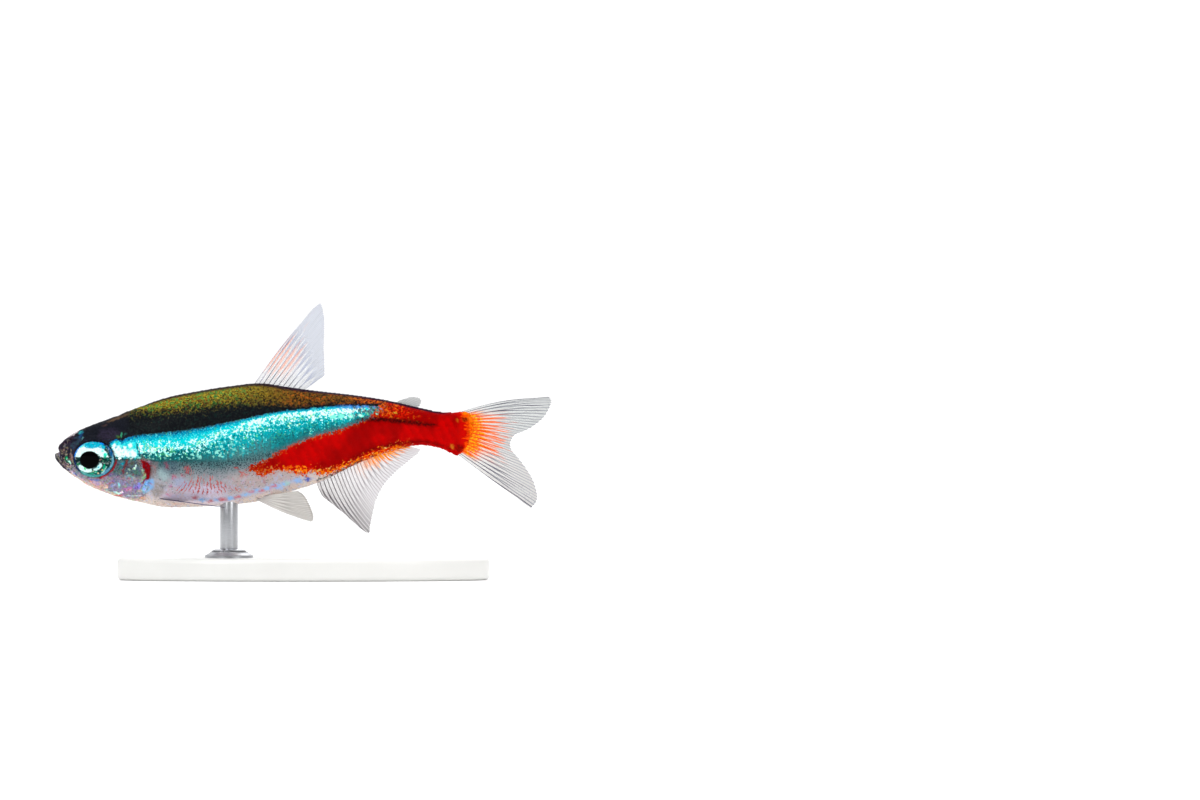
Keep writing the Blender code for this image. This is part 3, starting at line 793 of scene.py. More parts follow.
    spot(128.4, 488.4, 5, 1.8, 1.8, (190, 120, 158), 0.75, 14),
    spot(137, 485.6, 4.8, 3, 1.8, (134, 134, 208), 0.85, 24),
    spot(135.4, 487.2, 1.5, 1.2, 1, (140, 84, 182), 0.75, 30),
    spot(139.4, 483.2, 1.6, 1.1, 1, (120, 154, 222), 0.8, 30),
    spot(141, 489.4, 3, 1.4, 1.4, (194, 182, 160), 0.7, 10),
    *gillLayers,
]
analDashes = [
    spot(*place, 2.6, 1, 0.7, (44, 32, 44), 1, 25)
    for place in [(318.8, 479.4), (325, 477.4), (331.4, 474.6), (337.4, 471.8), (343.6, 469.0),
        (349.6, 466.2), (355.6, 463.2), (361.4, 460.4), (373, 455.4)]
]
trunkLayers = [
    # silver, lilac and blue of the belly
    spot(163.4, 474.6, 5.6, 6.4, 3, (156, 184, 188), 0.75, 10),
    spot(181, 483, 9, 5, 4, (160, 170, 204), 0.7, -20),
    spot(172, 497, 10, 3.2, 3.5, (196, 182, 214), 0.6, -8),
    spot(157, 489, 7, 8, 5, (144, 138, 134), 0.9),
    # lighter lilac along the belly's underside: partly the belly's own lilac silver, partly painted light against the
    # shade where the underside turns down
    spot(204, 494, 20, 8, 7, (228, 216, 236), 0.8),
    spot(206, 500.6, 28, 4, 4, (240, 228, 244), 0.7, -3),
    spot(170, 467, 9, 7, 5, (76, 98, 114), 0.5),
    stroke([(196, 499), (214, 499.4), (236, 497), (254, 492), (272, 487), (290, 481.6), (303, 479)],
        2.2, 3, (160, 184, 222), 0.55),
    *[spot(*place, 3.6, 1.7, 1.4, (136, 190, 242), 0.95, 18) for place in [(203, 499.4), (216.6, 500),
        (230, 498.4), (245, 494.6), (256, 490.2), (267.4, 488.6), (285, 483.6)]],
    spot(231, 498.6, 3, 2, 1.4, (136, 188, 240), 0.8),
    spot(277, 486.4, 6, 2.6, 1.6, (144, 188, 240), 0.8, -20),
    spot(298, 480.6, 4.6, 2.6, 1.4, (140, 184, 238), 0.9, -10),
    spot(307.4, 479.4, 3, 2.4, 1, (84, 96, 176), 1, -10),
    spot(287, 483, 2.6, 2.4, 1.6, (160, 206, 196), 0.8),
    # pink blotches
    spot(166.4, 465.6, 1.5, 4.2, 1.2, (150, 56, 84), 0.75, 20),
    spot(187.4, 470.4, 2.2, 4.4, 1.4, (160, 58, 72), 0.75, -14),
    spot(172.6, 477.6, 1.4, 2.4, 1, (182, 72, 112), 0.85),
    spot(176.4, 477.4, 1, 2.2, 0.9, (186, 60, 92), 0.85),
    spot(182.4, 474.6, 1, 2.2, 0.9, (186, 60, 92), 0.7, -20),
    spot(170.6, 486, 2, 1.8, 1.2, (182, 88, 140), 0.8),
    spot(167.6, 494.6, 2.6, 1.3, 1, (206, 120, 150), 0.7, -40),
    spot(222.6, 499.2, 4.6, 1.8, 1.2, (204, 122, 136), 0.85),
    spot(237, 497.2, 3.6, 1.6, 1.2, (206, 122, 132), 0.8, 12),
    spot(211, 501, 3, 1.2, 1, (206, 142, 152), 0.7),
    spot(261.4, 490.8, 3, 1.2, 1, (204, 134, 150), 0.8),
    spot(271, 489, 1.2, 3, 1, (198, 130, 168), 0.6, -30),
    stroke([(265.4, 478), (263.6, 482), (262, 486)], 0.6, 0.8, (176, 96, 120), 0.8),
    spot(176, 504, 5, 1, 1.2, (226, 168, 150), 0.6),
    spot(258.4, 498.6, 1.4, 0.9, 0.8, (92, 72, 80)),
    *[spot(*place, 3.2, 1.3, 1.2, (202, 96, 108), 0.95, 12) for place in [(194.6, 497.4), (211, 500.8),
        (223, 499.8), (237, 496.6), (251, 491.4), (262, 490.8), (274, 486)]],
    # ragged front of the red
    *[spot(*place, 1.5, 1.2, 1, (206, 58, 48), 0.85, 20) for place in [(240.6, 471), (243.6, 473.6),
        (246.4, 470.4), (241.4, 475.6), (247, 475), (236.4, 468), (263, 476.4)]],
    # side line and the stem
    stroke([(346, 418.6), (370, 419.2), (395, 420.4), (415, 422.8), (436, 425.2)], 2.3, 2.2, (58, 4, 4)),
    stroke([(352, 458), (371, 449.6), (395, 444.6), (416, 441.6), (432, 442.8), (450, 448.4)],
        1.5, 2.2, (104, 0, 0), 0.85),
    stroke([(470, 414), (468, 424), (468.6, 434), (471, 444)], 1.4, 3, (168, 2, 0), 0.6),
    spot(464.6, 419.6, 3.2, 2.6, 1.2, (96, 4, 0), 0.9),
    spot(459.4, 448, 4.6, 3.4, 1.6, (112, 4, 0), 0.9),
    spot(457, 420, 1.4, 2, 0.9, (178, 92, 14), 0.8),
    spot(452.6, 446.6, 1.4, 2.6, 0.9, (206, 130, 30), 0.8, 15),
    patch([(150, 461), (158, 462), (158, 468), (154, 476), (151, 478)], 3, (128, 112, 116), 0.7),
    spot(160, 479.6, 1.2, 0.9, 0.9, (44, 46, 54), 0.8),
    spot(161.6, 486.6, 1.4, 0.9, 0.9, (40, 60, 62), 0.8, 60),
    spot(164.4, 488, 1.4, 0.8, 0.9, (52, 40, 70), 0.8, -30),
    *gillLayers,
    *analDashes,
]
strokePatches = [
    patch([(176, 489), (184, 482), (192, 478), (200, 476), (206, 474), (212, 477), (222, 482),
        (230, 487), (241, 487), (241, 491), (228, 492), (216, 494), (200, 494), (186, 493), (178, 493)], 2),
    patch([(183, 468), (188, 465), (194, 470), (192, 476), (186, 474)], 1.6, share=0.7),
]
glintLayers = [
    # white patch of the stripe on the gill cover, a painted highlight over the stripe's cyan, and the dark gap behind
    # it
    patch([(111.2, 443.6), (115.6, 441.6), (119, 441.8), (122.6, 443.4), (126, 441.6), (131.8, 440.8),
        (135.4, 441.6), (136.2, 446), (137.6, 450), (138.4, 455), (136.6, 457.8), (131.4, 457.2),
        (127.6, 458.2), (122.6, 457.8), (117.2, 457.6), (114, 450.4)], 1.6, (64, 226, 228), 0.5),
    patch([(111.8, 446.4), (114.6, 444.6), (119.8, 446.6), (124, 449.4), (129, 450.2), (134.6, 451.4),
        (136.8, 454.4), (135.4, 457.2), (130.4, 456), (127.4, 457.4), (122, 457), (117.6, 457.2),
        (114.6, 451.4)], 2.4, (240, 255, 255), 0.9),
    stroke([(110.6, 442.6), (115.4, 440.2), (119, 440.2), (122.8, 441.6), (126, 439.4), (131.8, 438),
        (136.6, 437.4)], 0.7, 1.2, (0, 124, 188), 0.8),
    stroke([(136, 443.4), (137.6, 447.4), (139.4, 452.4), (140.8, 458.6)], 0.8, 1, (6, 82, 104), 0.9),
    spot(131, 446, 1.6, 1.2, 1, (196, 226, 190), 0.8),
    spot(127.6, 448.2, 1.4, 0.9, 0.8, (20, 206, 206), 0.8, 20),
    spot(121.4, 445.8, 1.4, 0.8, 0.8, (90, 236, 226), 0.8, -20),
    spot(130.4, 445.4, 2.2, 1.6, 1.2, (232, 255, 250), 0.85, 10),
    spot(126.6, 444.6, 1.2, 1.4, 0.8, (0, 176, 196), 0.85),
    spot(134.6, 447.6, 1, 1.6, 0.8, (8, 196, 204), 0.85, -20),
    spot(123.4, 451.4, 1.3, 0.9, 0.8, (120, 240, 236), 0.8, 30),
    spot(118.6, 449.2, 1.6, 0.8, 0.8, (130, 244, 240), 0.7, 50),
    spot(129.8, 453.6, 1, 1.2, 0.8, (96, 232, 230), 0.8),
    spot(126.2, 457.2, 1.6, 0.8, 0.8, (0, 150, 160), 0.85),
    spot(117.6, 443, 2, 0.9, 0.8, (0, 190, 214), 0.8),
    *[spot(*place, 1.3, 1.2, 0.8, (236, 255, 253), 0.9) for place in [(119.4, 458.4), (131.6, 458.6),
        (114.4, 444.6), (124.6, 447.4), (133.0, 450.2)]],
    *[spot(*place, 1.2, 1, 0.7, (0, 172, 186), 0.85, 20) for place in [(122.2, 448.2), (124.8, 457.4),
        (134.6, 457.8), (128.4, 451.0), (116.2, 447.2)]],
    # pearly dots and white specks where the stripe ends: painted glints
    *[spot(*place, 2.9, 2.2, 1.4, (126, 250, 222), 0.85) for place in [(333.4, 417), (341.6, 416.4),
        (350.8, 416.4), (361, 415.8)]],
    spot(361, 415.2, 1.3, 1, 0.8, (214, 255, 240)),
    spot(350.4, 416, 1.1, 1, 0.8, (206, 255, 236)),
    spot(367.8, 414, 1.3, 1.3, 0.8, (106, 222, 176), 0.9),
    spot(376.4, 414, 1.1, 1.1, 0.7, (140, 246, 214), 0.9),
    spot(372, 411.4, 1, 1, 0.7, (96, 190, 170), 0.8),
    spot(369, 408.6, 1.4, 1.2, 0.8, (132, 140, 214), 0.8),
    spot(374.6, 406.8, 1.4, 1, 0.8, (150, 130, 196), 0.8),
    spot(380.4, 409, 1.5, 1.2, 0.8, (176, 132, 160), 0.8),
    spot(395, 412.4, 1.4, 1, 0.7, (206, 170, 50), 0.8),
    spot(385, 402.6, 1.2, 0.9, 0.7, (230, 140, 40), 0.7),
    spot(398, 406.6, 1.3, 0.9, 0.7, (236, 130, 30), 0.7),
]


def layerShare(spots, layer):
    # how much of a layer's paint lies on each spot, from 0 to 1
    soft = layer["soft"] * photo["mmPerPixel"]
    if "patch" in layer:
        by = insideBy(spots, seen(layer["patch"]))
    elif "stroke" in layer:
        line = smoothLine(seen(layer["stroke"]), np.linspace(0, 1, 4 * len(layer["stroke"])))
        away, along, _ = fromLine(spots, line)
        taper = np.sqrt(np.clip(4.6 * along * (1 - along), 0.2, 1))
        by = layer["wide"] * photo["mmPerPixel"] * taper - away
    else:
        off = spots - seen(layer["spot"])
        a = math.radians(layer["turn"])
        rx, rz = np.array(layer["reach"]) * photo["mmPerPixel"]
        along = (off[:, 0] * math.cos(a) + off[:, 1] * math.sin(a)) / rx
        across = (off[:, 1] * math.cos(a) - off[:, 0] * math.sin(a)) / rz
        by = (1 - np.hypot(along, across)) * min(rx, rz)
    return ease(by, -soft / 2, soft / 2) * layer["share"]


def asSeen(points):
    # side-view places as the camera sees them: what lies nearer looks farther from the frame's middle
    middle = np.array(view["centre"])
    away = view["lens"] / view["sensor"] * view["whole"]
    return middle + (points[:, [0, 2]] - middle) / (1 - np.abs(points[:, 1]) / away)[:, None]


def wobbled(points):
    # the same with their edges made uneven, so that no patch ends in a clean line
    spots = asSeen(points)
    for size, far, seed in ((0.36, 0.022, 3), (0.13, 0.016, 5)):
        spots = spots + far * np.stack([grain(points, size, seed), grain(points, size, seed + 1)], axis=1)
    return spots


def painted(spots, layers):
    # colour and cover of all the layers, one over the other
    colour = np.zeros((len(spots), 3))
    cover = np.zeros(len(spots))
    for layer in layers:
        share = layerShare(spots, layer)
        colour = colour * (1 - share)[:, None] + np.array(ink(*layer["ink"])[:3]) * share[:, None]
        cover = cover * (1 - share) + share
    return np.column_stack([colour / np.maximum(cover, 1e-4)[:, None], cover])


def markSkin(mesh, points):
    # the attributes that the livery reads, the same for the skin and for the scales
    spots = asSeen(points)
    x, z = spots.T
    uneven = wobbled(points)
    top, core, coreFoot, foot, oliveFoot = [
        heightOf(name, x) for name in ("stripeTop", "stripeCore", "coreFoot", "stripeFoot", "oliveFoot")
    ]
    back = np.maximum(backHeight(x), top + 0.3)
    across = np.zeros(len(points))
    bands = [(top, core, 0.0, 0.5), (core, coreFoot, 0.5, 0.7), (coreFoot, foot, 0.7, 1.0)]
    for upper, lower, low, high in bands:
        share = np.clip((upper - z) / np.maximum(upper - lower, 0.05), 0, 1)
        across = np.where(z < upper, low + (high - low) * share, across)
    olive = np.maximum(oliveFoot, top + 0.05)
    above = np.where(
        z < olive,
        0.5 * (z - top) / np.maximum(olive - top, 0.05),
        0.5 + 0.5 * (z - olive) / np.maximum(back - olive, 0.3),
    )
    frontAway, _, frontHand = fromLine(spots, markLines["stripeFront"])
    front = np.where(x < -12.0, frontAway * frontHand, 1.0)
    gapAway, _, _ = fromLine(spots, markLines["gillGap"])
    onHead = 1 - ease(behindGill(points[:, 0], points[:, 2]), -0.02, 0.06)
    onHead *= 1 - ease(x, -13.2, -12.0) * ease(z, 10.4, 10.8)
    head, trunk = painted(uneven, headLayers), painted(uneven, trunkLayers)
    head[:, 3] *= onHead
    trunk[:, 3] *= 1 - onHead
    dye(mesh, "paint", np.where((onHead > 0.5)[:, None], head, trunk))
    # the glints hold painted highlights and some flecks, laid over the stripe
    dye(mesh, "glints", painted(uneven, glintLayers))
    noted = {
        "acrossStripe": across,
        "aboveStripe": np.clip(above, 0, 1),
        "belowStripe": np.clip((foot - z) / np.maximum(foot - bellyHeight(x), 0.3), 0, 1),
        "inStripe": np.minimum(np.minimum(top - z, z - foot), front) - 0.35 * hump(gapAway, 0.10),
        "inRed": insideBy(uneven, markLines["redArea"]),
        "underBack": backHeight(x) - z,
        "overRedFoot": z - heightOf("redFoot", x),
        "strokes": np.max([layerShare(uneven, layer) for layer in strokePatches], axis=0) * (1 - onHead),
        "onHead": onHead,
    }
    for name, values in noted.items():
        note(mesh, name, values)


def makeLivery(name):
    made, shader = startMaterial(name, {
        "Roughness": 0.5, "Coat Weight": 0.02, "Coat Roughness": 0.12, "Specular IOR Level": 0.012})
    where = inMillimetres()
    fine = noise(where, 3.6, detail=2.5, rough=0.6)
    tiny = noise(where, 7.5, detail=1.5, rough=0.6)
    dust = noise(where, 11.0, detail=1.0, rough=0.6)
    broad = noise(where, 0.55, detail=1.5)
    upright = noise(inMillimetres((4.6, 2.0, 1.1)), 1.0, detail=2, rough=0.6)
    swirl = addNode("TexNoise", {"Vector": where, "Scale": 5.0, "Detail": 2.0}, "Color")
    warped = addNode("VectorMath", {0: swirl, 1: (0.22, 0.22, 0.22), 2: where}, operation="MULTIPLY_ADD")
    flecks = axesOf(cells(warped, 7.0))
    x, _, z = axesOf(where)
    across, above, below = reading("acrossStripe"), reading("aboveStripe"), reading("belowStripe")
    inStripe, inRed, overRedFoot = reading("inStripe"), reading("inRed"), reading("overRedFoot")
    underBack, onHead, strokes = reading("underBack"), reading("onHead"), reading("strokes")
    paint, paintShare = reading("paint", "Color"), reading("paint", "Alpha")
    glints, glintsShare = reading("glints", "Color"), reading("glints", "Alpha")
    jitter = fine - 0.5
    quick = tiny - 0.5
    finger = upright - 0.5
    rear = stepUp(x, -5.0, 1.0)
    hindStripe = stepUp(x, -9.0, -4.0)

    # back: black above the stripe, then olive gold with green grains, and a dark edge on top
    gold = blend(stepUp(tiny, 0.36, 0.6), ink(48, 38, 14), ink(136, 120, 30))
    gold = blend(stepUp(dust, 0.54, 0.64) * 0.7, gold, ink(200, 180, 60))
    gold = blend(stepUp(flecks[0], 0.66, 0.78) * 0.75, gold, ink(58, 136, 58))
    gold = blend(stepUp(flecks[1], 0.8, 0.9) * 0.6, gold, ink(120, 64, 20))
    rust = blend(stepUp(tiny, 0.36, 0.62), ink(40, 24, 10), ink(112, 76, 24))
    rust = blend(stepUp(flecks[0], 0.66, 0.84) * 0.7, rust, ink(168, 84, 20))
    rust = blend(stepUp(upright, 0.52, 0.6) * 0.35, rust, ink(46, 26, 14))
    olive = blend(stepUp(x, -6.5, 0.5), gold, rust)
    hot = blend(stepUp(tiny, 0.4, 0.6), ink(112, 24, 6), ink(196, 60, 12))
    hot = blend(stepUp(flecks[0], 0.66, 0.8) * 0.8, hot, ink(226, 120, 22))
    olive = blend(stepUp(jitter * 4.0 + x, 2.6, 6.4), olive, hot)
    band = blend(stepUp(tiny, 0.44, 0.66), ink(16, 18, 22), ink(26, 32, 32))
    band = blend(stepUp(flecks[2], 0.84, 0.96) * 0.25, band, ink(22, 54, 48))
    up = jitter * 0.5 + above + quick * 0.44
    backInk = blend(stepUp(up, 0.32, 0.84), band, olive)
    backInk = blend(stepUp(above, 0.9, 0.985), backInk, blend(rear, ink(34, 20, 14), ink(30, 8, 34)))

    # flank and belly: speckled grey teal under the stripe, then silver lilac, then pale flesh
    down = jitter * 0.26 + below
    flankInk = ramp(down, [(0.0, ink(30, 96, 98)), (0.08, ink(80, 116, 120)), (0.22, ink(116, 132, 138)),
        (0.42, ink(158, 160, 166)), (0.64, ink(186, 178, 188)), (0.84, ink(204, 190, 188)),
        (0.93, ink(224, 206, 194)), (1.0, ink(232, 218, 206))])
    flankInk = blend(stepUp(below, 0.16, 0.0) * hindStripe, flankInk, ink(84, 126, 130))
    flankInk = blend(stepUp(below, 0.2, 0.5) * (stepUp(x, -6.0, -4.4) * stepUp(below, 0.84, 0.6)),
        flankInk, ink(178, 164, 162))
    sown = stepUp(below, 0.44, 0.0) * 0.16 + dust
    flankInk = blend(stepUp(sown, 0.62, 0.7) * 0.85, flankInk, ink(40, 52, 60))
    lilac = stepUp(fine, 0.5, 0.64) * stepUp(below, 0.3, 0.6)
    flankInk = blend(lilac * 0.5, flankInk, ink(174, 188, 222))
    blush = stepUp(flecks[1], 0.76, 0.92) * stepUp(below, 0.25, 0.5)
    flankInk = blend(blush * 0.35, flankInk, ink(206, 150, 160))
    base = blend(stepUp(above, 0.0, 0.02), flankInk, backInk)

    # red flank with an orange fringe along its foot
    ragged = jitter * 0.75 + inRed + quick * 0.95
    deep = blend(stepUp(broad, 0.4, 0.62), ink(156, 0, 0), ink(196, 0, 0))
    lines = x * 9.0 + (z * 4.6 + jitter * 6.0)
    lines = sine(lines) * 0.1 + 0.08
    deep = blend(lines + stepUp(fine, 0.4, 0.6) * 0.12, deep, ink(110, 0, 0))
    mottled = blend(stepUp(tiny, 0.42, 0.58), ink(132, 8, 0), ink(204, 26, 2))
    mottled = blend(stepUp(flecks[0], 0.78, 0.88) * 0.8, mottled, ink(226, 106, 16))
    nearTop = stepUp(quick * 1.6 + underBack, 1.3, 0.9)
    past = jitter * 5.0 + x
    mottled = blend(stepUp(past, 6.9, 5.6), mottled, hot)
    redInk = blend(nearTop * stepUp(past, 8.7, 6.7), deep, mottled)
    fringe = blend(stepUp(flecks[1], 0.3, 0.85), ink(224, 44, 0), ink(252, 140, 12))
    fringe = blend(stepUp(flecks[2], 0.8, 0.92) * 0.8, fringe, ink(244, 200, 110))
    footEdge = jitter * 1.5 + overRedFoot + quick * 0.9
    hind = stepUp(x, -4.4, 0.6) * stepUp(x, 7.9, 6.6)
    fringeShare = stepUp(footEdge, 0.6, 0.28) * hind
    redInk = blend(fringeShare, redInk, fringe)
    brim = stepUp(ragged, -0.12, 0.0) - stepUp(ragged, 0.06, 0.26)
    brimInk = blend(stepUp(flecks[1], 0.4, 0.9), ink(150, 40, 8), ink(214, 96, 16))
    redInk = blend(brim * 0.6, redInk, brimInk)
    base = blend(stepUp(ragged, -0.08, 0.08), base, redInk)
    strands = noise(inMillimetres((1.0, 5.0, 5.0)), 1.0, detail=2, rough=0.6)
    fromMiddle = z - 10.62
    fromMiddle = fromMiddle * fromMiddle * 0.17 + x
    ending = (strands - 0.5) * 1.5 + fromMiddle
    tailInk = blend(stepUp(ending, 11.72, 11.98), ink(196, 4, 0), ink(246, 74, 0))
    tailInk = blend(stepUp(ending, 11.96, 12.24), tailInk, ink(255, 122, 4))
    base = blend(stepUp(x, 10.9, 11.5), base, tailInk)

    crest = stepUp(underBack, 0.17, 0.07) * stepUp(x, 11.2, 9.4)
    base = blend(crest * stepUp(x, 3.0, 5.0), base, ink(46, 8, 32))

    # the listed paint, and small grains of many colours on the cheek and snout
    broken = ranged(onHead * 0.2 + tiny, 0.34, 0.54, 0.45, 1.0)
    base = blend(paintShare * broken, base, paint)
    bare = onHead * stepUp(above, 0.06, 0.0)
    snout = onHead * stepUp(x, -16.3, -17.1)
    base = blend(stepUp(tiny, 0.5, 0.4) * (snout * 0.75), base, ink(40, 32, 40))
    shades = [ranged(part, 0.0, 1.0, 0.74, 1.24) for part in flecks[:3]]
    tinted = blend(1.0, base, joined(*shades), "MULTIPLY")
    base = blend(bare, base, tinted)
    shade = ranged(tiny, 0.3, 0.7, 0.66, 1.26)
    shaded = blend(1.0, base, joined(shade, shade, shade), "MULTIPLY")
    base = blend(onHead, base, shaded)
    pepper = stepUp(stepUp(z, 7.4, 8.4) * 0.08 + dust, 0.64, 0.7) * bare
    base = blend(pepper * 0.8, base, ink(40, 42, 62))

    # stripe: blue to cyan on top, a core of white flecks that runs out in fingers, teal below
    t = finger * 0.58 + across + quick * 0.3
    teal = blend(hindStripe, ink(0, 92, 100), ink(0, 164, 176))
    tealFoot = blend(hindStripe, ink(24, 92, 96), ink(72, 122, 126))
    tealFoot = blend(stepUp(x, -3.4, -1.6), tealFoot, ink(24, 112, 120))
    lowerInk = blend(stepUp(t, 0.76, 1.0), teal, tealFoot)
    lowerInk = blend(stepUp(tiny, 0.5, 0.66) * 0.55, lowerInk, ink(0, 62, 70))
    lowerInk = blend(stepUp(dust, 0.52, 0.66) * 0.4, lowerInk, ink(20, 160, 160))
    upperInk = ramp(quick * 0.34 + across,
        [(0.0, ink(0, 50, 84)), (0.06, ink(0, 104, 148)), (0.15, ink(0, 166, 196)),
        (0.28, ink(0, 204, 216)), (0.44, ink(0, 214, 220)), (0.6, ink(0, 190, 198))])
    upperInk = blend(stepUp(flecks[1], 0.62, 0.8) * 0.4, upperInk, ink(0, 132, 168))
    upperInk = blend(stepUp(dust, 0.56, 0.66) * 0.5, upperInk, ink(110, 246, 240))
    stripe = blend(stepUp(t, 0.62, 0.72), upperInk, lowerInk)
    off = abs(t - (hindStripe * -0.1 + 0.56))
    lucky = flecks[0] - 0.5
    heart = lucky * 0.36 + (hindStripe * 0.02 + 0.11 - off)
    heart = (dust - 0.5) * 0.9 + heart
    heart = stepUp(across, 0.34, 0.06) * -0.3 + heart
    fewer = stepUp(x, -10.4, -7.6) * stepUp(x, -3.4, -5.6)
    heart = fewer * -0.09 + heart
    heart = stepUp(x, -1.6, 0.0) * 0.05 + heart
    glow = stepUp(heart, -0.12, 0.04)
    white = stepUp(heart, -0.01, 0.12)
    lime = stepUp(flecks[2], 0.74, 0.88) * stepUp(across, 0.36, 0.62)
    glowInk = blend(lime * 0.6, ink(60, 228, 228), ink(110, 236, 140))
    whiteInk = blend(lime * 0.5, ink(226, 255, 253), ink(200, 250, 160))
    stripe = blend(glow, stripe, glowInk)
    stripe = blend(white, stripe, whiteInk)
    limeLow = stepUp(flecks[2], 0.9, 0.97) * stepUp(across, 1.0, 0.7)
    stripe = blend(limeLow * 0.55, stripe, ink(70, 196, 120))
    spark = stepUp(flecks[1], 0.74, 0.84) * stepUp(across, 1.0, 0.94)
    spark = spark * stepUp(across, 0.66, 0.76) * stepUp(x, -3.2, -6.6)
    stripe = blend(spark * 0.85, stripe, ink(150, 240, 224))
    lilacEnd = stepUp(x, 1.6, 4.0) * stepUp(quick * 0.8 + across, 0.44, 0.28)
    lilacInk = blend(stepUp(flecks[1], 0.4, 0.8), ink(52, 108, 214), ink(112, 160, 236))
    stripe = blend(lilacEnd * 0.8, stripe, lilacInk)
    edge = jitter * 0.32 + inStripe + quick * 0.22
    stripeEnding = stepUp(lucky * 2.2 + x, 5.1, 3.7)
    blurred = hindStripe * stepUp(across, 0.6, 0.9)
    stripeShare = (edge + (blurred * 0.16 + 0.07)) / (blurred * 0.36 + 0.17)
    stripeShare = stepUp(stripeShare, 0.0, 1.0) * stripeEnding
    colour = blend(stripeShare, base, stripe)
    # the glints: painted highlights and flecks laid over the stripe, broken up by grains on the head
    grains = (quick + (dust - 0.5)) * (onHead * 1.9)
    shine = stepUp(glintsShare + grains, 0.12, 0.78)
    shine = shine * stepUp(glintsShare, 0.02, 0.2)
    colour = blend(shine, colour, glints)
    # pink strokes that fan out downwards
    fan = (x + 6.9) * (z * 0.36 - 2.6)
    fan = (x + fan) * 27.0
    pink = sine(fan + (jitter * 9.0 + quick * 5.0))
    pink = stepUp(pink, 0.1, 0.8) * stepUp(upright, 0.4, 0.5)
    pink = pink * strokes
    colour = blend(pink * 0.9, colour, ink(196, 78, 68))
    plug(shader, {"Base Color": colour, "Metallic": stripeShare * 0.12})
    bump(shader, fine + tiny, 0.01, 0.5)
    return made


# Skin

skin = {
    "around": 256,
    "rings": 360,
    "headSpacing": 0.030,       # mm between rings on the head
    "trunkSpacing": 0.150,
    "coatDepth": 0.055,         # how far the skin lies under the scales' tops
    "mouth": [(-18.14, 9.25), (-17.90, 9.23), (-17.71, 9.21), (-17.63, 9.08), (-17.52, 8.90),
        (-17.44, 8.70), (-17.32, 8.54), (-17.20, 8.42)],
    "mouthDeep": 0.11,
    "mouthWide": 0.035,
    "lip": 0.045,
    "lipAway": 0.13,            # the lips' crests and the fold beyond them, from the mouth's line
    "lipWide": 0.075,
    "lipFold": 0.025,
    "foldAway": 0.29,
    # the foremost x at each height, where the upper lip lies behind the lower jaw
    "frontHeights": (9.05, 9.14, 9.20, 9.225, 9.25, 9.30, 9.38, 9.58, 9.80, 9.95),
    "frontPlaces": (-18.20, -18.00, -17.89, -17.78, -17.68, -17.70, -17.74, -17.785, -17.70, -17.90),
    "nostrils": [(-17.16, 9.96), (-16.84, 10.14)],
    "nostrilReach": 0.10,
    "nostrilDeep": 0.12,
    "nostrilRim": 0.028,
    "gillFurrow": 0.05,         # behind the gill cover's edge, and the one on the cover
    "coverFurrow": 0.02,
    "eyeRim": 0.014,
}
# grooves of the side view: line, depth and half width in mm
creases = {
    "cheek": ([(-12.96, 9.10), (-12.82, 8.45), (-12.98, 7.80), (-13.40, 7.24), (-14.10, 6.84),
        (-14.90, 6.66)], 0.07, 0.055),
    "under_eye": ([(-16.95, 8.30), (-16.40, 7.55), (-15.60, 7.14), (-14.60, 7.10), (-13.75, 7.55),
        (-13.42, 8.30)], 0.030, 0.05),
    "behind_eye": ([(-13.30, 9.55), (-13.36, 8.90), (-13.42, 8.30)], 0.025, 0.05),
    "upper_jaw": ([(-17.10, 9.12), (-16.98, 8.70), (-16.78, 8.30), (-16.62, 8.02)], 0.045, 0.045),
    "upper_jaw_front": ([(-17.38, 9.00), (-17.22, 8.70), (-17.02, 8.30)], 0.030, 0.045),
    "jaw_hinge": ([(-16.95, 7.90), (-16.30, 7.30), (-15.50, 6.94)], 0.030, 0.05),
    "cover_plates": ([(-12.72, 7.70), (-12.20, 7.20), (-11.62, 6.98)], 0.030, 0.045),
    "throat": ([(-16.20, 7.40), (-14.80, 6.60), (-13.40, 6.22), (-12.20, 6.12)], 0.05, 0.06),
    "brow": ([(-16.70, 9.75), (-16.00, 10.22), (-15.10, 10.36), (-14.20, 10.08)], 0.022, 0.06),
    "nose_fold": ([(-17.50, 9.62), (-17.20, 9.70), (-16.92, 9.86), (-16.62, 9.82)], 0.022, 0.05),
}
finFeet = {
    # line that a fin grows from, as x, y, z of its two ends, with the mound's height and half width
    "dorsal": ((-4.20, 0, 14.20), (-0.30, 0, 13.82), 0.10, 0.30),
    "adipose": ((6.70, 0, 12.86), (7.50, 0, 12.68), 0.05, 0.20),
    "anal": ((0.20, 0, 6.86), (6.95, 0, 9.52), 0.13, 0.26),
    "pelvic": ((-3.60, 0.50, 5.80), (-2.85, 0.60, 6.05), 0.10, 0.26),
    "pectoral": ((-10.70, 1.00, 5.95), (-10.20, 0.80, 5.85), 0.12, 0.28),
}


def ringShares():
    # the stations' shares at each ring, crowded on the head
    share = np.linspace(0, 1, 3001)
    line = smoothLine(body["stations"], share)
    run = np.maximum(np.hypot(*np.diff(line[:, 0:2], axis=0).T), np.hypot(*np.diff(line[:, 2:4], axis=0).T))
    middle = (line[1:, 0] + line[:-1, 0]) / 2
    spacing = skin["headSpacing"] + (skin["trunkSpacing"] - skin["headSpacing"]) * ease(middle, -11.0, -9.6)
    walked = np.concatenate([[0], np.cumsum(run / spacing)])
    return np.interp(np.linspace(0, walked[-1], skin["rings"] - 1), walked, share)


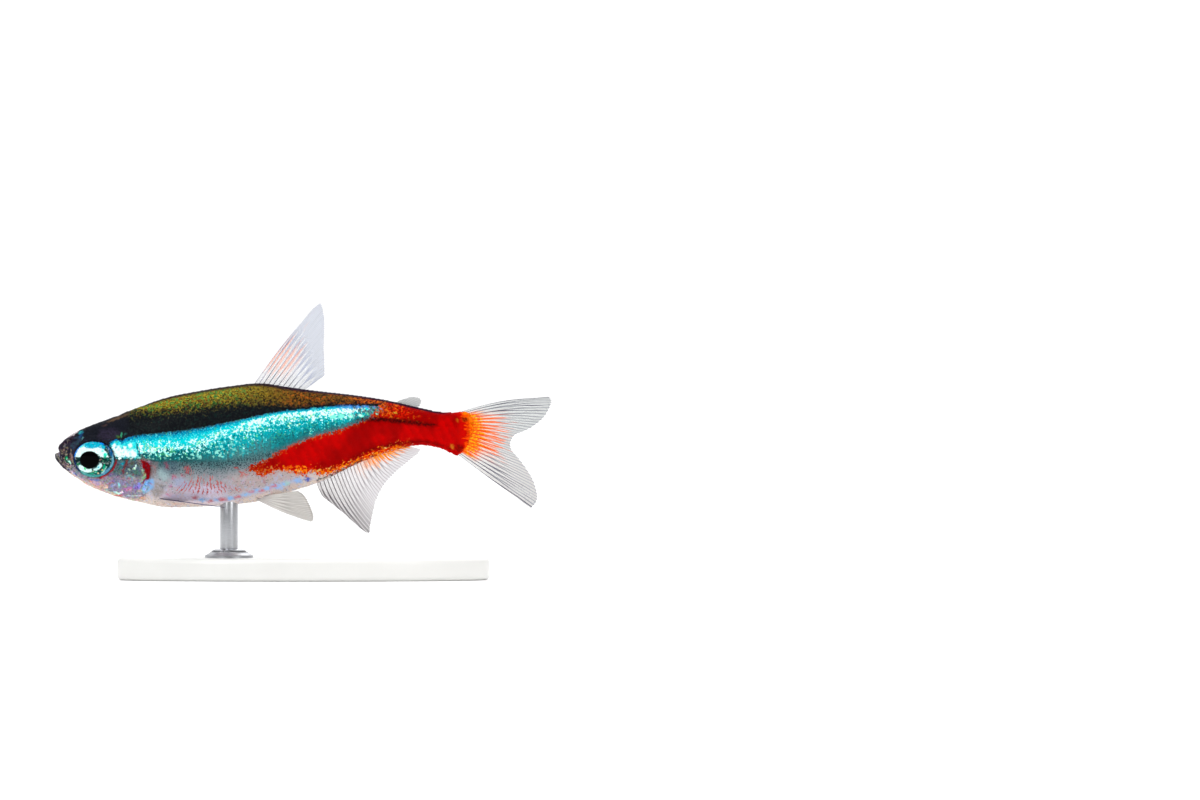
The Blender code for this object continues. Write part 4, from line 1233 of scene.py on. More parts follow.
def gillRelief(x, z, behind):
    cx, cz = body["gillCentre"]
    rx, rz = body["gillReach"]
    near = np.hypot((x - cx) / rx, (z - cz) / rz)
    fade = np.where(x > cx, np.clip((near - 0.35) / 0.6, 0, 1), 0) * np.clip((x - cx) / (0.6 * rx), 0, 1)
    fade *= np.clip((11.2 - z) / 1.6, 0, 1) * ease(z, 5.7, 6.6)
    rise = body["gillProud"] * fade * (1 - ease(behind, -0.015, 0.02))
    rise -= skin["gillFurrow"] * fade * hump(behind - 0.05, 0.05)
    return rise - skin["coverFurrow"] * fade * hump(behind + 0.30, 0.07)


def creaseRelief(spots):
    rise = np.zeros(len(spots))
    for line, deep, wide in creases.values():
        away, along, _ = fromLine(spots, smoothLine(line, np.linspace(0, 1, 24)))
        ends = np.sqrt(np.clip(5 * along * (1 - along), 0, 1))
        rise -= deep * ends * hump(away, wide)
        rise += 0.35 * deep * ends * hump(away - 2.4 * wide, 1.4 * wide)
    return rise


def mouthRelief(spots):
    away, along, _ = fromLine(spots, smoothLine(skin["mouth"], np.linspace(0, 1, 40)))
    slit = (1 - ease(along, 0.86, 1.0)) * (spots[:, 0] < -16.9)
    rise = skin["lip"] * hump(away - skin["lipAway"], skin["lipWide"])
    rise -= skin["mouthDeep"] * hump(away, skin["mouthWide"])
    return (rise - skin["lipFold"] * hump(away - skin["foldAway"], 0.05)) * slit


def nostrilRelief(x, z):
    rise = np.zeros(len(x))
    for px, pz in skin["nostrils"]:
        pit = np.hypot(x - px, z - pz) / skin["nostrilReach"]
        rise += skin["nostrilRim"] * hump(pit - 1.5, 0.4) - skin["nostrilDeep"] * np.exp(-(pit**4))
    return rise


def footRelief(points):
    # mounds of flesh that the fins grow from, the same on both sides
    rise = np.zeros(len(points))
    for start, end, tall, wide in finFeet.values():
        off = points - np.array(start)
        run = np.subtract(end, start)
        t = np.clip(off @ run / (run @ run), 0, 1)
        rise += tall * hump(np.linalg.norm(off - t[:, None] * run, axis=1), wide)
    return rise


def skinRelief(points):
    # how far each point stands out of the plain body, in mm
    x, y, z = points[:, 0], np.abs(points[:, 1]), points[:, 2]
    spots = np.stack([x, z], axis=1)
    behind = behindGill(x, z)
    onHead = 1 - ease(behind, -0.1, 0.1)
    sunk = np.where(z < 10.2, ease(behind, 0.02, 0.10), ease(behindCoat(x, z), 0.02, 0.9))
    return (
        gillRelief(x, z, behind)
        - skin["coatDepth"] * sunk
        + creaseRelief(spots)
        + mouthRelief(spots)
        + nostrilRelief(x, z) * (y > 0.2)
        + skin["eyeRim"] * hump(eyeDistance(x, z) - 1.10, 0.05) * (y > 0.5)
        + footRelief(np.stack([x, y, z], axis=1))
        + onHead * (0.006 * grain(points, 0.55, 7) + 0.004 * grain(points, 0.22, 8))
    )


def eyeDistance(x, z):
    ex, _, ez = body["eyeCentre"]
    rx, _, rz = body["eyeReach"]
    return np.hypot((x - ex) / rx, (z - ez) / rz)


def eyePlane(x, z):
    ex, ey, ez = body["eyeCentre"]
    return ey + body["eyeTilt"][0] * (x - ex) + body["eyeTilt"][1] * (z - ez)


def sinkOrbits(points):
    # the rim of each eye: the skin turns in round the ball and passes behind it
    ex, _, ez = body["eyeCentre"]
    rim = 1.02
    x, y, z = points.T
    reach = eyeDistance(x, z)
    here = (reach < rim) & (np.abs(y) > 0.3)
    gathered = rim * (np.maximum(reach, 1e-4) / rim) ** 0.3
    pull = np.where(here, gathered / np.maximum(reach, 1e-4), 1)
    x = np.where(here, ex + (x - ex) * pull, x)
    z = np.where(here, ez + (z - ez) * pull, z)
    reach = np.where(here, gathered, reach)
    under = eyePlane(x, z) - 0.14 + 0.36 * np.sqrt(np.clip(1 - reach**2, 0, 1))
    outer = flank(x, z)
    wall = ease(reach, 0.985, rim)
    depth = under + (outer - under) * wall
    y = np.where(here, np.sign(y) * depth, y)
    return np.stack([x, y, z], axis=1)


def makeSkin(livery):
    piece = startPiece(
        bpy.ops.mesh.primitive_uv_sphere_add, segments=skin["around"], ring_count=skin["rings"], radius=1
    )
    ball = readPoints(piece.data)
    ring = np.rint(np.arccos(np.clip(ball[:, 2], -1, 1)) / math.pi * skin["rings"]).astype(int)
    turn = np.arctan2(ball[:, 1], ball[:, 0])
    shares = np.concatenate([ringShares(), [1.0]])
    share = shares[np.clip(ring, 0, skin["rings"] - 1)]
    share = np.where(ring == skin["rings"], 1.0, share)
    points = onBody(share, turn)
    poles = (ring == 0) | (ring == skin["rings"])
    line = smoothLine(body["stations"], share[poles])
    middle = line[:, 0:2] + (line[:, 2:4] - line[:, 0:2]) * body["belt"]
    points[poles] = np.stack([middle[:, 0], np.zeros(len(middle)), middle[:, 1]], axis=1)
    writePoints(piece.data, points)
    faceOutwards(piece)
    rest = points.copy()
    points = points + normalsOf(piece.data) * skinRelief(points)[:, None]
    least = np.interp(points[:, 2], skin["frontHeights"], skin["frontPlaces"]) + 0.30 * points[:, 1] ** 2
    points[:, 0] = np.maximum(points[:, 0], least)
    points = sinkOrbits(points)
    writePoints(piece.data, points)
    markSkin(piece.data, rest)
    piece.data.uv_layers.active.name = "OFBake"
    return finishPiece(piece, "body_skin", livery, "flank", "head", "trunk", "tail_stem")


# Scales

scales = {
    "along": 0.64,              # from one scale to the next in a row
    "rowStep": 0.335,           # between neighbouring rows
    "long": 1.06,               # a scale's own length and height
    "tall": 0.92,
    "thick": 0.016,
    "rootSunk": -0.045,         # against the body's outer surface
    "tipRaised": 0.040,
    "first": -14.2,
    "last": 12.0,
    "rows": 20,                 # above and below the side's middle
    "pastEdge": 0.12,           # how far a root may lie past the back's or the belly's line
    "fromCoatEdge": 0.30,       # room in front of the first scales
    "fromEye": 1.2,             # and round the eye, in radii of the eye
    "smaller": 0.20,            # share by which the scales shrink on the tail stem
    "crown": 0.010,             # how far a scale's middle stands out of its sides
    "napeSunk": 0.03,
    "onMap": 0.003,             # a scale's size on the map that its colours are baked from
}


def modelScale():
    # one scale: x runs from its root to its tip and y across it, both from -1 to 1
    piece = startPiece(bpy.ops.mesh.primitive_grid_add, x_subdivisions=6, y_subdivisions=6, size=2)
    flat = readPoints(piece.data)
    u, v = flat[:, 0].copy(), flat[:, 1].copy()
    flat[:, 0] = u * np.sqrt(1 - v**2 / 2)
    flat[:, 1] = v * np.sqrt(1 - u**2 / 2)
    writePoints(piece.data, flat)
    thicken(piece, scales["thick"])
    points = readPoints(piece.data)
    faces = np.array([list(face.vertices) for face in piece.data.polygons])
    bpy.data.objects.remove(piece)
    return points, faces


def sectionTable():
    # for each share of the body, the arc length from the side's middle up to the back and down to the belly
    shares = np.linspace(0.2, 0.985, 160)
    turns = np.linspace(0, math.pi, 241)
    grid = onBody(np.repeat(shares, len(turns)), np.tile(turns, len(shares)))
    grid = grid.reshape(len(shares), len(turns), 3)
    walked = np.cumsum(np.linalg.norm(np.diff(grid, axis=1), axis=2), axis=1)
    arc = np.concatenate([np.zeros((len(shares), 1)), walked], axis=1)
    middle = len(turns) // 2
    sideX = grid[:, middle, 0]
    return shares, turns, arc - arc[:, middle : middle + 1], sideX


def turnAt(table, share, arc):
    # the turn round the body at an arc length above (-) or below (+) the side's middle, also past its end
    shares, turns, arcs, _ = table
    row = np.clip(np.searchsorted(shares, share), 1, len(shares) - 1)
    mix = np.clip((share - shares[row - 1]) / (shares[row] - shares[row - 1]), 0, 1)
    found = np.zeros(len(share))
    for k in np.unique(row):
        here = row == k
        for side, weight in ((k - 1, 1 - mix[here]), (k, mix[here])):
            top, foot = arcs[side, 0], arcs[side, -1]
            a = arc[here]
            folded = np.where(a < top, 2 * top - a, np.where(a > foot, 2 * foot - a, a))
            turn = np.interp(folded, arcs[side], turns)
            turn = np.where(a < top, -turn, np.where(a > foot, 2 * math.pi - turn, turn))
            found[here] += weight * turn
    return found


def scaleRoots(table):
    # where each scale grows, as x and the arc length from the side's middle
    shares, _, arcs, sideX = table
    columns = int((scales["last"] - scales["first"]) / scales["along"]) + 2
    past = scales["pastEdge"]
    roots = []
    for row in range(-scales["rows"], scales["rows"] + 1):
        for column in range(columns):
            x = scales["first"] + (column + 0.5 * (row % 2)) * scales["along"]
            arc = row * scales["rowStep"]
            share = np.interp(x, sideX, shares)
            top = np.interp(share, shares, arcs[:, 0])
            foot = np.interp(share, shares, arcs[:, -1])
            if arc < top - past or arc > foot + past or x > scales["last"]:
                continue
            turn = turnAt(table, np.array([share]), np.array([arc]))
            x0, _, z0 = onBody(np.array([share]), turn)[0]
            if behindCoat(x0, z0) < scales["fromCoatEdge"] or eyeDistance(x0, z0) < scales["fromEye"]:
                continue
            roots.append((x, arc))
    return np.array(roots)


def outwardNormals(share, turn, spots):
    step = 0.002
    ahead = onBody(share + step, turn) - onBody(share - step, turn)
    aside = onBody(share, turn + step) - onBody(share, turn - step)
    normal = np.cross(aside, ahead)
    normal /= np.linalg.norm(normal, axis=1)[:, None]
    x = spots[:, 0]
    middle = np.interp(x, bodyLines[:, 0], (bodyLines[:, 1] + bodyLines[:, 3]) / 2)
    outward = spots - np.stack([x, np.zeros(len(x)), middle], axis=1)
    return normal * np.sign(np.sum(normal * outward, axis=1))[:, None]


def makeScales(side, name, livery):
    template, faces = modelScale()
    table = sectionTable()
    shares, _, _, sideX = table
    roots = scaleRoots(table)
    count = len(roots)
    draw = np.random.default_rng(11)
    jitter = draw.normal(0, 1, (count, 4))
    shrink = 1 - scales["smaller"] * ease(roots[:, 0], 4, 12)
    long = scales["long"] / 2 * shrink * (1 + 0.02 * jitter[:, 0])
    tall = scales["tall"] / 2 * shrink * (1 + 0.03 * jitter[:, 1])
    local = np.tile(template, (count, 1))
    own = np.repeat(np.arange(count), len(template))
    x = roots[own, 0] + local[:, 0] * long[own] + 0.012 * jitter[own, 2]
    arc = roots[own, 1] + local[:, 1] * tall[own] + 0.010 * jitter[own, 3]
    share = np.interp(x, sideX, shares)
    turn = turnAt(table, share, arc)
    spots = onBody(share, turn)
    normal = outwardNormals(share, turn, spots)
    tilt = scales["rootSunk"] + (scales["tipRaised"] - scales["rootSunk"]) * (local[:, 0] + 1) / 2
    crown = scales["crown"] * (1 - local[:, 1] ** 2)
    nape = ease(spots[:, 2], 10.2, 10.5) * (1 - ease(behindCoat(spots[:, 0], spots[:, 2]), 0.2, 1.2))
    tilt = tilt - scales["napeSunk"] * nape
    spots = spots + normal * (tilt + crown + local[:, 2])[:, None]
    spots[:, 1] *= side
    mesh = bpy.data.meshes.new(name)
    allFaces = (faces[None] + (np.arange(count) * len(template))[:, None, None]).reshape(-1, 4)
    mesh.from_pydata(spots.tolist(), [], allFaces.tolist())
    mesh.update()
    piece = bpy.data.objects.new(name, mesh)
    bpy.context.scene.collection.objects.link(piece)
    faceOutwards(piece)
    markSkin(mesh, spots)
    note(mesh, "towardTip", np.clip((local[:, 0] + 1) / 2, 0, 1))
    note(mesh, "offCentre", np.abs(local[:, 1]))
    note(mesh, "lot", np.repeat(draw.uniform(0, 1, count), len(template)))
    rootShare = np.interp(roots[:, 0], sideX, shares)
    rootTurn = turnAt(table, rootShare, roots[:, 1]) * side / (2 * math.pi) + 0.5
    flat = np.column_stack([rootShare[own], rootTurn[own]]) + local[:, :2] * scales["onMap"] / 2
    unwrap = mesh.uv_layers.new(name="OFBake")
    loops = np.empty(len(mesh.loops), int)
    mesh.loops.foreach_get("vertex_index", loops)
    unwrap.data.foreach_set("uv", flat[loops].astype(np.float32).ravel())
    print(f"{name}: {count} scales")
    return finishPiece(piece, name, livery, "flank", smoothUnder=50)


# Eyes

eyeLayers = [
    patch([(60, 430), (130, 430), (130, 490), (60, 490)], 0.5, (16, 62, 62)),
    # the rim, from the top round to the left; the dark navy at the top and on the left is painted shade of the groove
    # round the eye, over the blue of the eye's edge
    stroke([(74, 453), (77.4, 447), (83, 442.4), (92, 440.4), (101, 441.6), (107, 446)],
        1.3, 1.2, (6, 18, 86)),
    stroke([(107.4, 445.6), (111, 450.6), (112.6, 457)], 2.2, 1.6, (14, 82, 134)),
    stroke([(112.8, 456), (112.8, 463), (110, 469)], 1.3, 1.2, (98, 168, 190)),
    stroke([(110, 468), (105.4, 473), (99.6, 476)], 1.9, 1.4, (78, 142, 176)),
    stroke([(101, 475.6), (94, 476.6), (87, 475), (80.6, 471)], 1.8, 1.4, (62, 150, 148)),
    stroke([(80.6, 471), (76.4, 466.6), (74.2, 461), (73.8, 454)], 1.3, 1, (12, 34, 84)),
    # blue above, then the white arch over the pupil, a painted highlight of glare on the eye
    patch([(78.6, 446.6), (84, 442.8), (92, 441.8), (100, 442.8), (105.4, 446.4), (104, 450.4),
        (96, 449.4), (90, 448.6), (84, 449.4), (79.4, 451)], 0.8, (0, 168, 196)),
    patch([(75.2, 457), (76.2, 452), (79.2, 447.6), (83, 446), (86, 447.8), (92, 448.6), (98, 447.6),
        (103, 449), (106.6, 452.6), (108.8, 457.2), (104, 457.6), (100.6, 456.8), (97.6, 454.2),
        (94, 451.8), (90.5, 451), (86, 452), (82.5, 454), (80, 457.4)], 0.8, (222, 255, 252)),
    spot(105.4, 454.8, 2, 1.9, 0.8, (36, 232, 200), 1, 30),
    spot(81.6, 446.6, 2.4, 1, 0.7, (104, 236, 222), 1, 25),
    spot(102.6, 450.8, 1.1, 1.6, 0.6, (130, 238, 224), 1, 40),
    stroke([(74.6, 456.6), (75.4, 452.4), (78, 447.8), (82.4, 444.4)], 1.1, 0.9, (0, 112, 214)),
    spot(75.5, 452.9, 1, 1.5, 0.5, (4, 130, 240), 1, -20),
    spot(76.2, 448.8, 1.2, 0.9, 0.5, (22, 140, 226), 1, 40),
    spot(101.6, 443.6, 2.6, 0.9, 0.6, (8, 132, 226), 1, -24),
    # dark to the left and right of the pupil
    spot(77.4, 460.2, 2.3, 3, 0.9, (10, 36, 38)),
    spot(78, 464.2, 1.4, 1.4, 0.7, (12, 112, 70)),
    patch([(99.2, 457.4), (104, 458.2), (108.8, 457.8), (110, 461), (108.6, 465.6), (104, 466.4),
        (101.6, 463.2), (99, 463)], 0.9, (8, 46, 44)),
    spot(100.4, 459.6, 0.9, 0.8, 0.5, (120, 88, 70)),
    spot(105, 457.4, 1.5, 1, 0.6, (6, 150, 116)),
    spot(106.4, 462, 2.4, 3, 1.4, (12, 56, 52)),
    spot(103, 461, 1, 0.8, 0.6, (70, 132, 96), 0.8),
    spot(107.8, 459.4, 0.8, 1, 0.6, (40, 120, 108), 0.8),
    # the lower arc and its glitter: white-cyan patches of painted highlight, with green and small pale specks
    patch([(78.2, 466.6), (80, 464.4), (83, 466.4), (87, 468.8), (91.6, 469.2), (92.2, 471.2),
        (88.5, 472.8), (84, 471.8), (80, 469.6)], 0.7, (212, 255, 248)),
    spot(84.8, 468.8, 0.8, 1.2, 0.5, (60, 224, 134), 1, 35),
    patch([(93, 469.8), (96.6, 467.4), (99.8, 463.4), (101.6, 463.2), (102, 466), (99, 469.4),
        (95.4, 470.8)], 0.7, (196, 248, 244)),
    spot(98.6, 467.3, 1.1, 0.8, 0.5, (0, 204, 232), 1, 45),
    stroke([(104.6, 463.6), (103.8, 468.2), (101.2, 471.4)], 0.9, 0.8, (4, 164, 120)),
    spot(95.8, 472, 1.8, 1.2, 0.7, (16, 150, 124), 1, 20),
    spot(91.6, 473.4, 2.2, 0.9, 0.7, (34, 150, 116), 1, -5),
    spot(102.5, 470.1, 0.7, 0.7, 0.4, (240, 168, 92)),
    spot(98.4, 473.3, 1, 0.6, 0.5, (206, 196, 150)),
    spot(93.4, 471.2, 0.7, 0.7, 0.4, (190, 226, 170)),
    stroke([(106.6, 466.6), (104.6, 470), (101.6, 473.4)], 0.6, 0.5, (140, 214, 196)),
]
eye = {
    "segments": 192,
    "rings": 130,
    "pupilCentre": (89.5, 459.8),       # column and row
    "pupilReach": (9.7, 8.7),
    "pupilProud": 0.035,
    "pupilFurrow": 0.010,
    "wobble": 0.014,            # how far the paint's edges stray, in features of this size
    "wobbleSize": 0.16,
}


def makeEye(side, name, iris):
    ex, _, ez = body["eyeCentre"]
    rx, ry, rz = body["eyeReach"]
    piece = startPiece(
        bpy.ops.mesh.primitive_uv_sphere_add, segments=eye["segments"], ring_count=eye["rings"], radius=1
    )
    ball = readPoints(piece.data)
    # the sphere's upper pole looks out of the head
    aside, up, out = ball[:, 0], ball[:, 1], ball[:, 2]
    x, z = ex + rx * aside, ez + rz * up
    y = eyePlane(x, z) + ry * out
    spots = asSeen(np.stack([x, y, z], axis=1))
    pupilReach = np.array(eye["pupilReach"]) * photo["mmPerPixel"]
    off = np.hypot(*((spots - seen(eye["pupilCentre"])) / pupilReach).T)
    proud = eye["pupilProud"] * np.sqrt(np.clip(1 - off**2, 0, 1))
    y += (proud - eye["pupilFurrow"] * hump(off - 1.06, 0.05)) * (out > 0)
    writePoints(piece.data, np.stack([x, side * y, z], axis=1))
    faceOutwards(piece)
    wobble = eye["wobble"] * np.stack([grain(spots, eye["wobbleSize"], seed) for seed in (21, 22)], axis=1)
    dye(piece.data, "paint", painted(spots + wobble, eyeLayers))
    note(piece.data, "inPupil", 1 - off)
    return finishPiece(piece, name, iris, "eye", name)


def makeIris():
    made, shader = startMaterial("iris", {
        "Roughness": 0.5, "Coat Weight": 0.04, "Coat Roughness": 0.04, "Specular IOR Level": 0.01})
    where = inMillimetres()
    paint = reading("paint", "Color")
    glitter = axesOf(cells(where, 11.0))
    fine = noise(where, 8.0, detail=3, rough=0.6)
    lit = blend(stepUp(glitter[0], 0.75, 0.95) * 0.22, paint, ink(236, 255, 252))
    dim = ranged(fine, 0.35, 0.6, 0.74, 1.12)
    lit = blend(1.0, lit, joined(dim, dim, dim), "MULTIPLY")
    pupil = stepUp(reading("inPupil"), -0.04, 0.04)
    colour = blend(pupil, lit, ink(0, 0, 1))
    plug(shader, {"Base Color": colour})
    bump(shader, fine, 0.005, 0.4)
    return made


# Fins

def upright(curl=0.0, start=0.0, over=6.0):
    def place(x, z):
        return np.stack([x, curl * (np.abs(z - start) / over) ** 2, z], axis=1)
    return place


def rootOnBack(front, hind, sunk):
    return [(x, float(backHeight(x)) - sunk) for x in np.linspace(front, hind, 4)]


def rootOnBelly(front, hind, sunk):
    return [(x, float(bellyHeight(x)) + sunk) for x in np.linspace(front, hind, 5)]


def tailPlace(x, z):
    return np.stack([x, 0.45 * (np.clip(x - 12, 0, None) / 6) ** 2, z], axis=1)


def pelvicPlace(side):
    def place(x, z):
        return np.stack([x, side * (0.50 + 0.30 * np.clip(x + 3.2, 0, None)), z], axis=1)
    return place


def pectoralPlace(side):
    def place(x, y):
        return np.stack([x, side * y, 5.96 - 0.128 * (x + 10.8)], axis=1)
    return place


fins = {
    "dorsal_fin": {
        "root": rootOnBack(-3.82, -0.35, 0.35),
        "margin": [(0.70, 19.68), (1.22, 20.04), (1.44, 19.22), (1.50, 18.30), (1.46, 17.30), (1.48, 16.20),
            (1.52, 14.82)],
        "rays": 11, "rows": 90, "bow": (0.13, 0.05, 0.0), "sunk": 0.35, "place": upright(0.5, 14.0),
        "kind": "dorsal", "split": (4, 0.30),
    },
    "adipose_fin": {
        "root": rootOnBack(6.70, 7.50, 0.25),
        "margin": [(6.98, 13.02), (7.66, 13.24), (8.26, 13.24), (8.52, 13.00), (8.42, 12.60)],
        "rays": 9, "rows": 24, "bow": (0.1, 0.0), "place": upright(), "kind": "adipose", "split": (1, 1.0),
    },
    "anal_fin": {
        "root": rootOnBelly(0.86, 6.90, 0.35),
        "margin": [(1.46, 5.96), (2.00, 5.58), (2.94, 4.80), (3.78, 4.06), (4.70, 3.40), (4.86, 4.05),
            (5.06, 4.96), (5.30, 5.88), (5.84, 6.90), (6.58, 7.73), (7.42, 8.47), (8.24, 9.12),
            (8.48, 9.48)],
        "front": (0.18, 0.333),
        "rays": 26, "rows": 80, "bow": (-0.08, -0.32, -0.26, -0.19, -0.13, -0.07, 0.0), "sunk": 0.35,
        "place": upright(-0.5, 8.0), "kind": "anal", "split": (2, 0.35),
    },
    "caudal_fin": {
        "root": [(11.10, 12.10), (11.00, 11.30), (10.88, 10.30), (10.80, 9.40)],
        "margin": [(17.78, 13.27), (17.96, 12.98), (17.80, 12.45), (17.40, 11.80), (16.80, 11.26),
            (15.98, 10.80), (15.32, 10.52), (15.00, 9.98), (15.10, 9.42), (15.66, 8.74), (16.30, 7.86),
            (16.70, 7.08), (16.92, 6.30), (16.88, 5.70), (16.50, 5.20)],
        "rays": 21, "rows": 90, "bow": (0.28, 0.10, -0.03), "place": tailPlace, "kind": "tail",
        "split": (2, 0.30),
    },
}
for finSide, finName in ((-1, "left"), (1, "right")):
    fins[f"pelvic_fin_{finName}"] = {
        "root": [(-3.50, 5.88), (-3.19, 5.99), (-2.88, 6.12)],
        "margin": [(0.62, 4.22), (0.68, 4.60), (0.50, 5.16), (0.22, 5.78), (-0.10, 6.22), (-0.46, 6.46)],
        "rays": 8, "rows": 70, "bow": (-0.12, 0.0), "place": pelvicPlace(finSide), "kind": "pelvic",
        "split": (3, 0.30),
    }
    fins[f"pectoral_fin_{finName}"] = {
        "root": [(-10.60, 0.92), (-10.44, 0.78), (-10.24, 0.64)],
        "margin": [(-5.86, 3.50), (-5.62, 3.10), (-5.72, 2.52), (-6.12, 1.96), (-6.74, 1.52),
            (-7.40, 1.26)],
        "rays": 11, "rows": 70, "bow": (0.22, 0.0), "place": pectoralPlace(finSide), "kind": "pectoral",
        "split": (2, 0.45), "rayRoot": 0.05,
    }
finSheet = {
    "perRay": 14,               # columns of mesh for each ray
    "web": 0.022,               # thickness of the web, in mm
    "rayRoot": 0.085,           # and of a ray at its root and its tip
    "rayTip": 0.028,
    "rayWide": 0.11,            # a ray's half width, in spaces between rays
    "ragged": 0.06,             # how far a ray's tip stands out of the web's edge
    "sway": 0.012,              # how far the rays wave along their length
    "ridge": 0.008,             # the least that a ray stands out of the web
    "levels": 200,              # steps of thickness
}


def rayHeight(lot, out, look):
    # 1 on the crest of a ray and 0 on the web, with rays that part towards the margin
    branches, partAt = look["split"]
    off = lot - np.rint(lot)
    if branches == 1:
        return hump(off, 0.22)
    parted = ease(out, partAt, min(partAt + 0.5, 1.4))
    crest = np.zeros(len(lot))
    for k in range(branches):
        aside = (k / (branches - 1) - 0.5) * (1 - 1 / branches) * 1.02
        crest = np.maximum(crest, hump(off - aside * parted, finSheet["rayWide"] * (1 - 0.4 * parted)))
    return crest


def makeFin(name, look, material, slot):
    columns = (look["rays"] - 1) * finSheet["perRay"]
    piece = startPiece(
        bpy.ops.mesh.primitive_grid_add, x_subdivisions=columns, y_subdivisions=look["rows"], size=2
    )
    flat = readPoints(piece.data)
    across, out = (flat[:, 0] + 1) / 2, (flat[:, 1] + 1) / 2
    lot = across * (look["rays"] - 1)
    crest = rayHeight(lot, out, look)
    roots = smoothLine(look["root"], across)
    # a fin whose front rays end along its front edge has them crowded there
    shareOut, shareIn = look.get("front", (0.5, 0.5))
    tips = smoothLine(look["margin"], np.interp(across, (0, shareOut, 1), (0, shareIn, 1)))
    along = tips - roots
    length = np.linalg.norm(along, axis=1)
    ahead = np.stack([-along[:, 1], along[:, 0]], axis=1) / length[:, None]
    draw = np.random.default_rng(len(name) + look["rays"])
    uneven = np.interp(lot * 3, np.arange(3 * look["rays"]), draw.normal(0, 0.5, 3 * look["rays"]))
    back = finSheet["ragged"] * (0.45 - crest + 0.3 * np.abs(uneven)) / length
    reach = out * (1 - np.clip(back, -0.1, 0.3) * ease(out, 0.75, 1.0))
    bent = np.interp(across, np.linspace(0, 1, len(look["bow"])), look["bow"])
    wave = finSheet["sway"] * np.sin(reach * 21 + lot * 2.4) * ease(out, 0.5, 1.0)
    spots = roots + along * reach[:, None] + ahead * (bent * np.sin(math.pi * reach) + wave)[:, None]
    points = look["place"](spots[:, 0], spots[:, 1])
    writePoints(piece.data, points)
    rayRoot = look.get("rayRoot", finSheet["rayRoot"])
    ray = rayRoot + (finSheet["rayTip"] - rayRoot) * reach**0.6
    thick = finSheet["web"] + (ray - finSheet["web"]).clip(finSheet["ridge"]) * crest
    if look["kind"] == "adipose":
        # a fold of skin without rays, thinner at its edge
        thick = 0.12 - 0.07 * out
    free = reach * length - look.get("sunk", 0.2)
    for noted, values in {"ray": lot, "out": reach, "across": across, "free": free}.items():
        note(piece.data, noted, values)
    group = piece.vertex_groups.new(name="thickness")
    most = float(thick.max())
    level = np.rint(thick / most * finSheet["levels"]).astype(int)
    for step in np.unique(level):
        group.add(np.flatnonzero(level == step).tolist(), step / finSheet["levels"], "REPLACE")
    thicken(piece, most, "thickness")
    faceOutwards(piece)
    return finishPiece(piece, name, material, slot, name)


finInks = {
    # the web, a ray at its root and at its tip, how much each hides, and a line's half width in spaces
    "dorsal": {"web": (229, 232, 236), "root": (60, 50, 78), "tip": (184, 190, 208), "alpha": (0.50, 0.80),
        "line": 0.085},
    "adipose": {"web": (196, 198, 198), "root": (176, 176, 180), "tip": (206, 206, 208),
        "alpha": (0.90, 0.92), "line": 0.1},
    "anal": {"web": (222, 219, 220), "root": (128, 120, 124), "tip": (172, 168, 172), "alpha": (0.62, 0.88),
        "line": 0.11},
    "tail": {"web": (220, 223, 222), "root": (112, 104, 118), "tip": (158, 160, 166), "alpha": (0.64, 0.88),
        "line": 0.13},
    "pelvic": {"web": (238, 235, 231), "root": (150, 142, 140), "tip": (176, 172, 168),
        "alpha": (0.66, 0.88), "line": 0.12},
    "pectoral": {"web": (150, 146, 176), "root": (44, 40, 74), "tip": (64, 60, 100), "alpha": (0.60, 0.92),
        "line": 0.18},
}


def rayLines(lot, out, look, wide):
    # 1 on a ray's line and 0 on the web, drawn finer than the mesh's own ridges
    branches, partAt = look["split"]
    off = lot - round(lot)
    if branches == 1:
        return stepUp(abs(off), wide * 1.5, wide * 0.5)
    parted = stepUp(out, partAt, min(partAt + 0.5, 1.4))
    near = None
    for k in range(branches):
        aside = (k / (branches - 1) - 0.5) * (1 - 1 / branches) * 1.02
        gap = abs(parted * -aside + off)
        near = gap if near is None else smaller(near, gap)
    half = parted * (-0.3 * wide) + wide
    return 1.0 - stepUp(near / half, 0.45, 1.35)


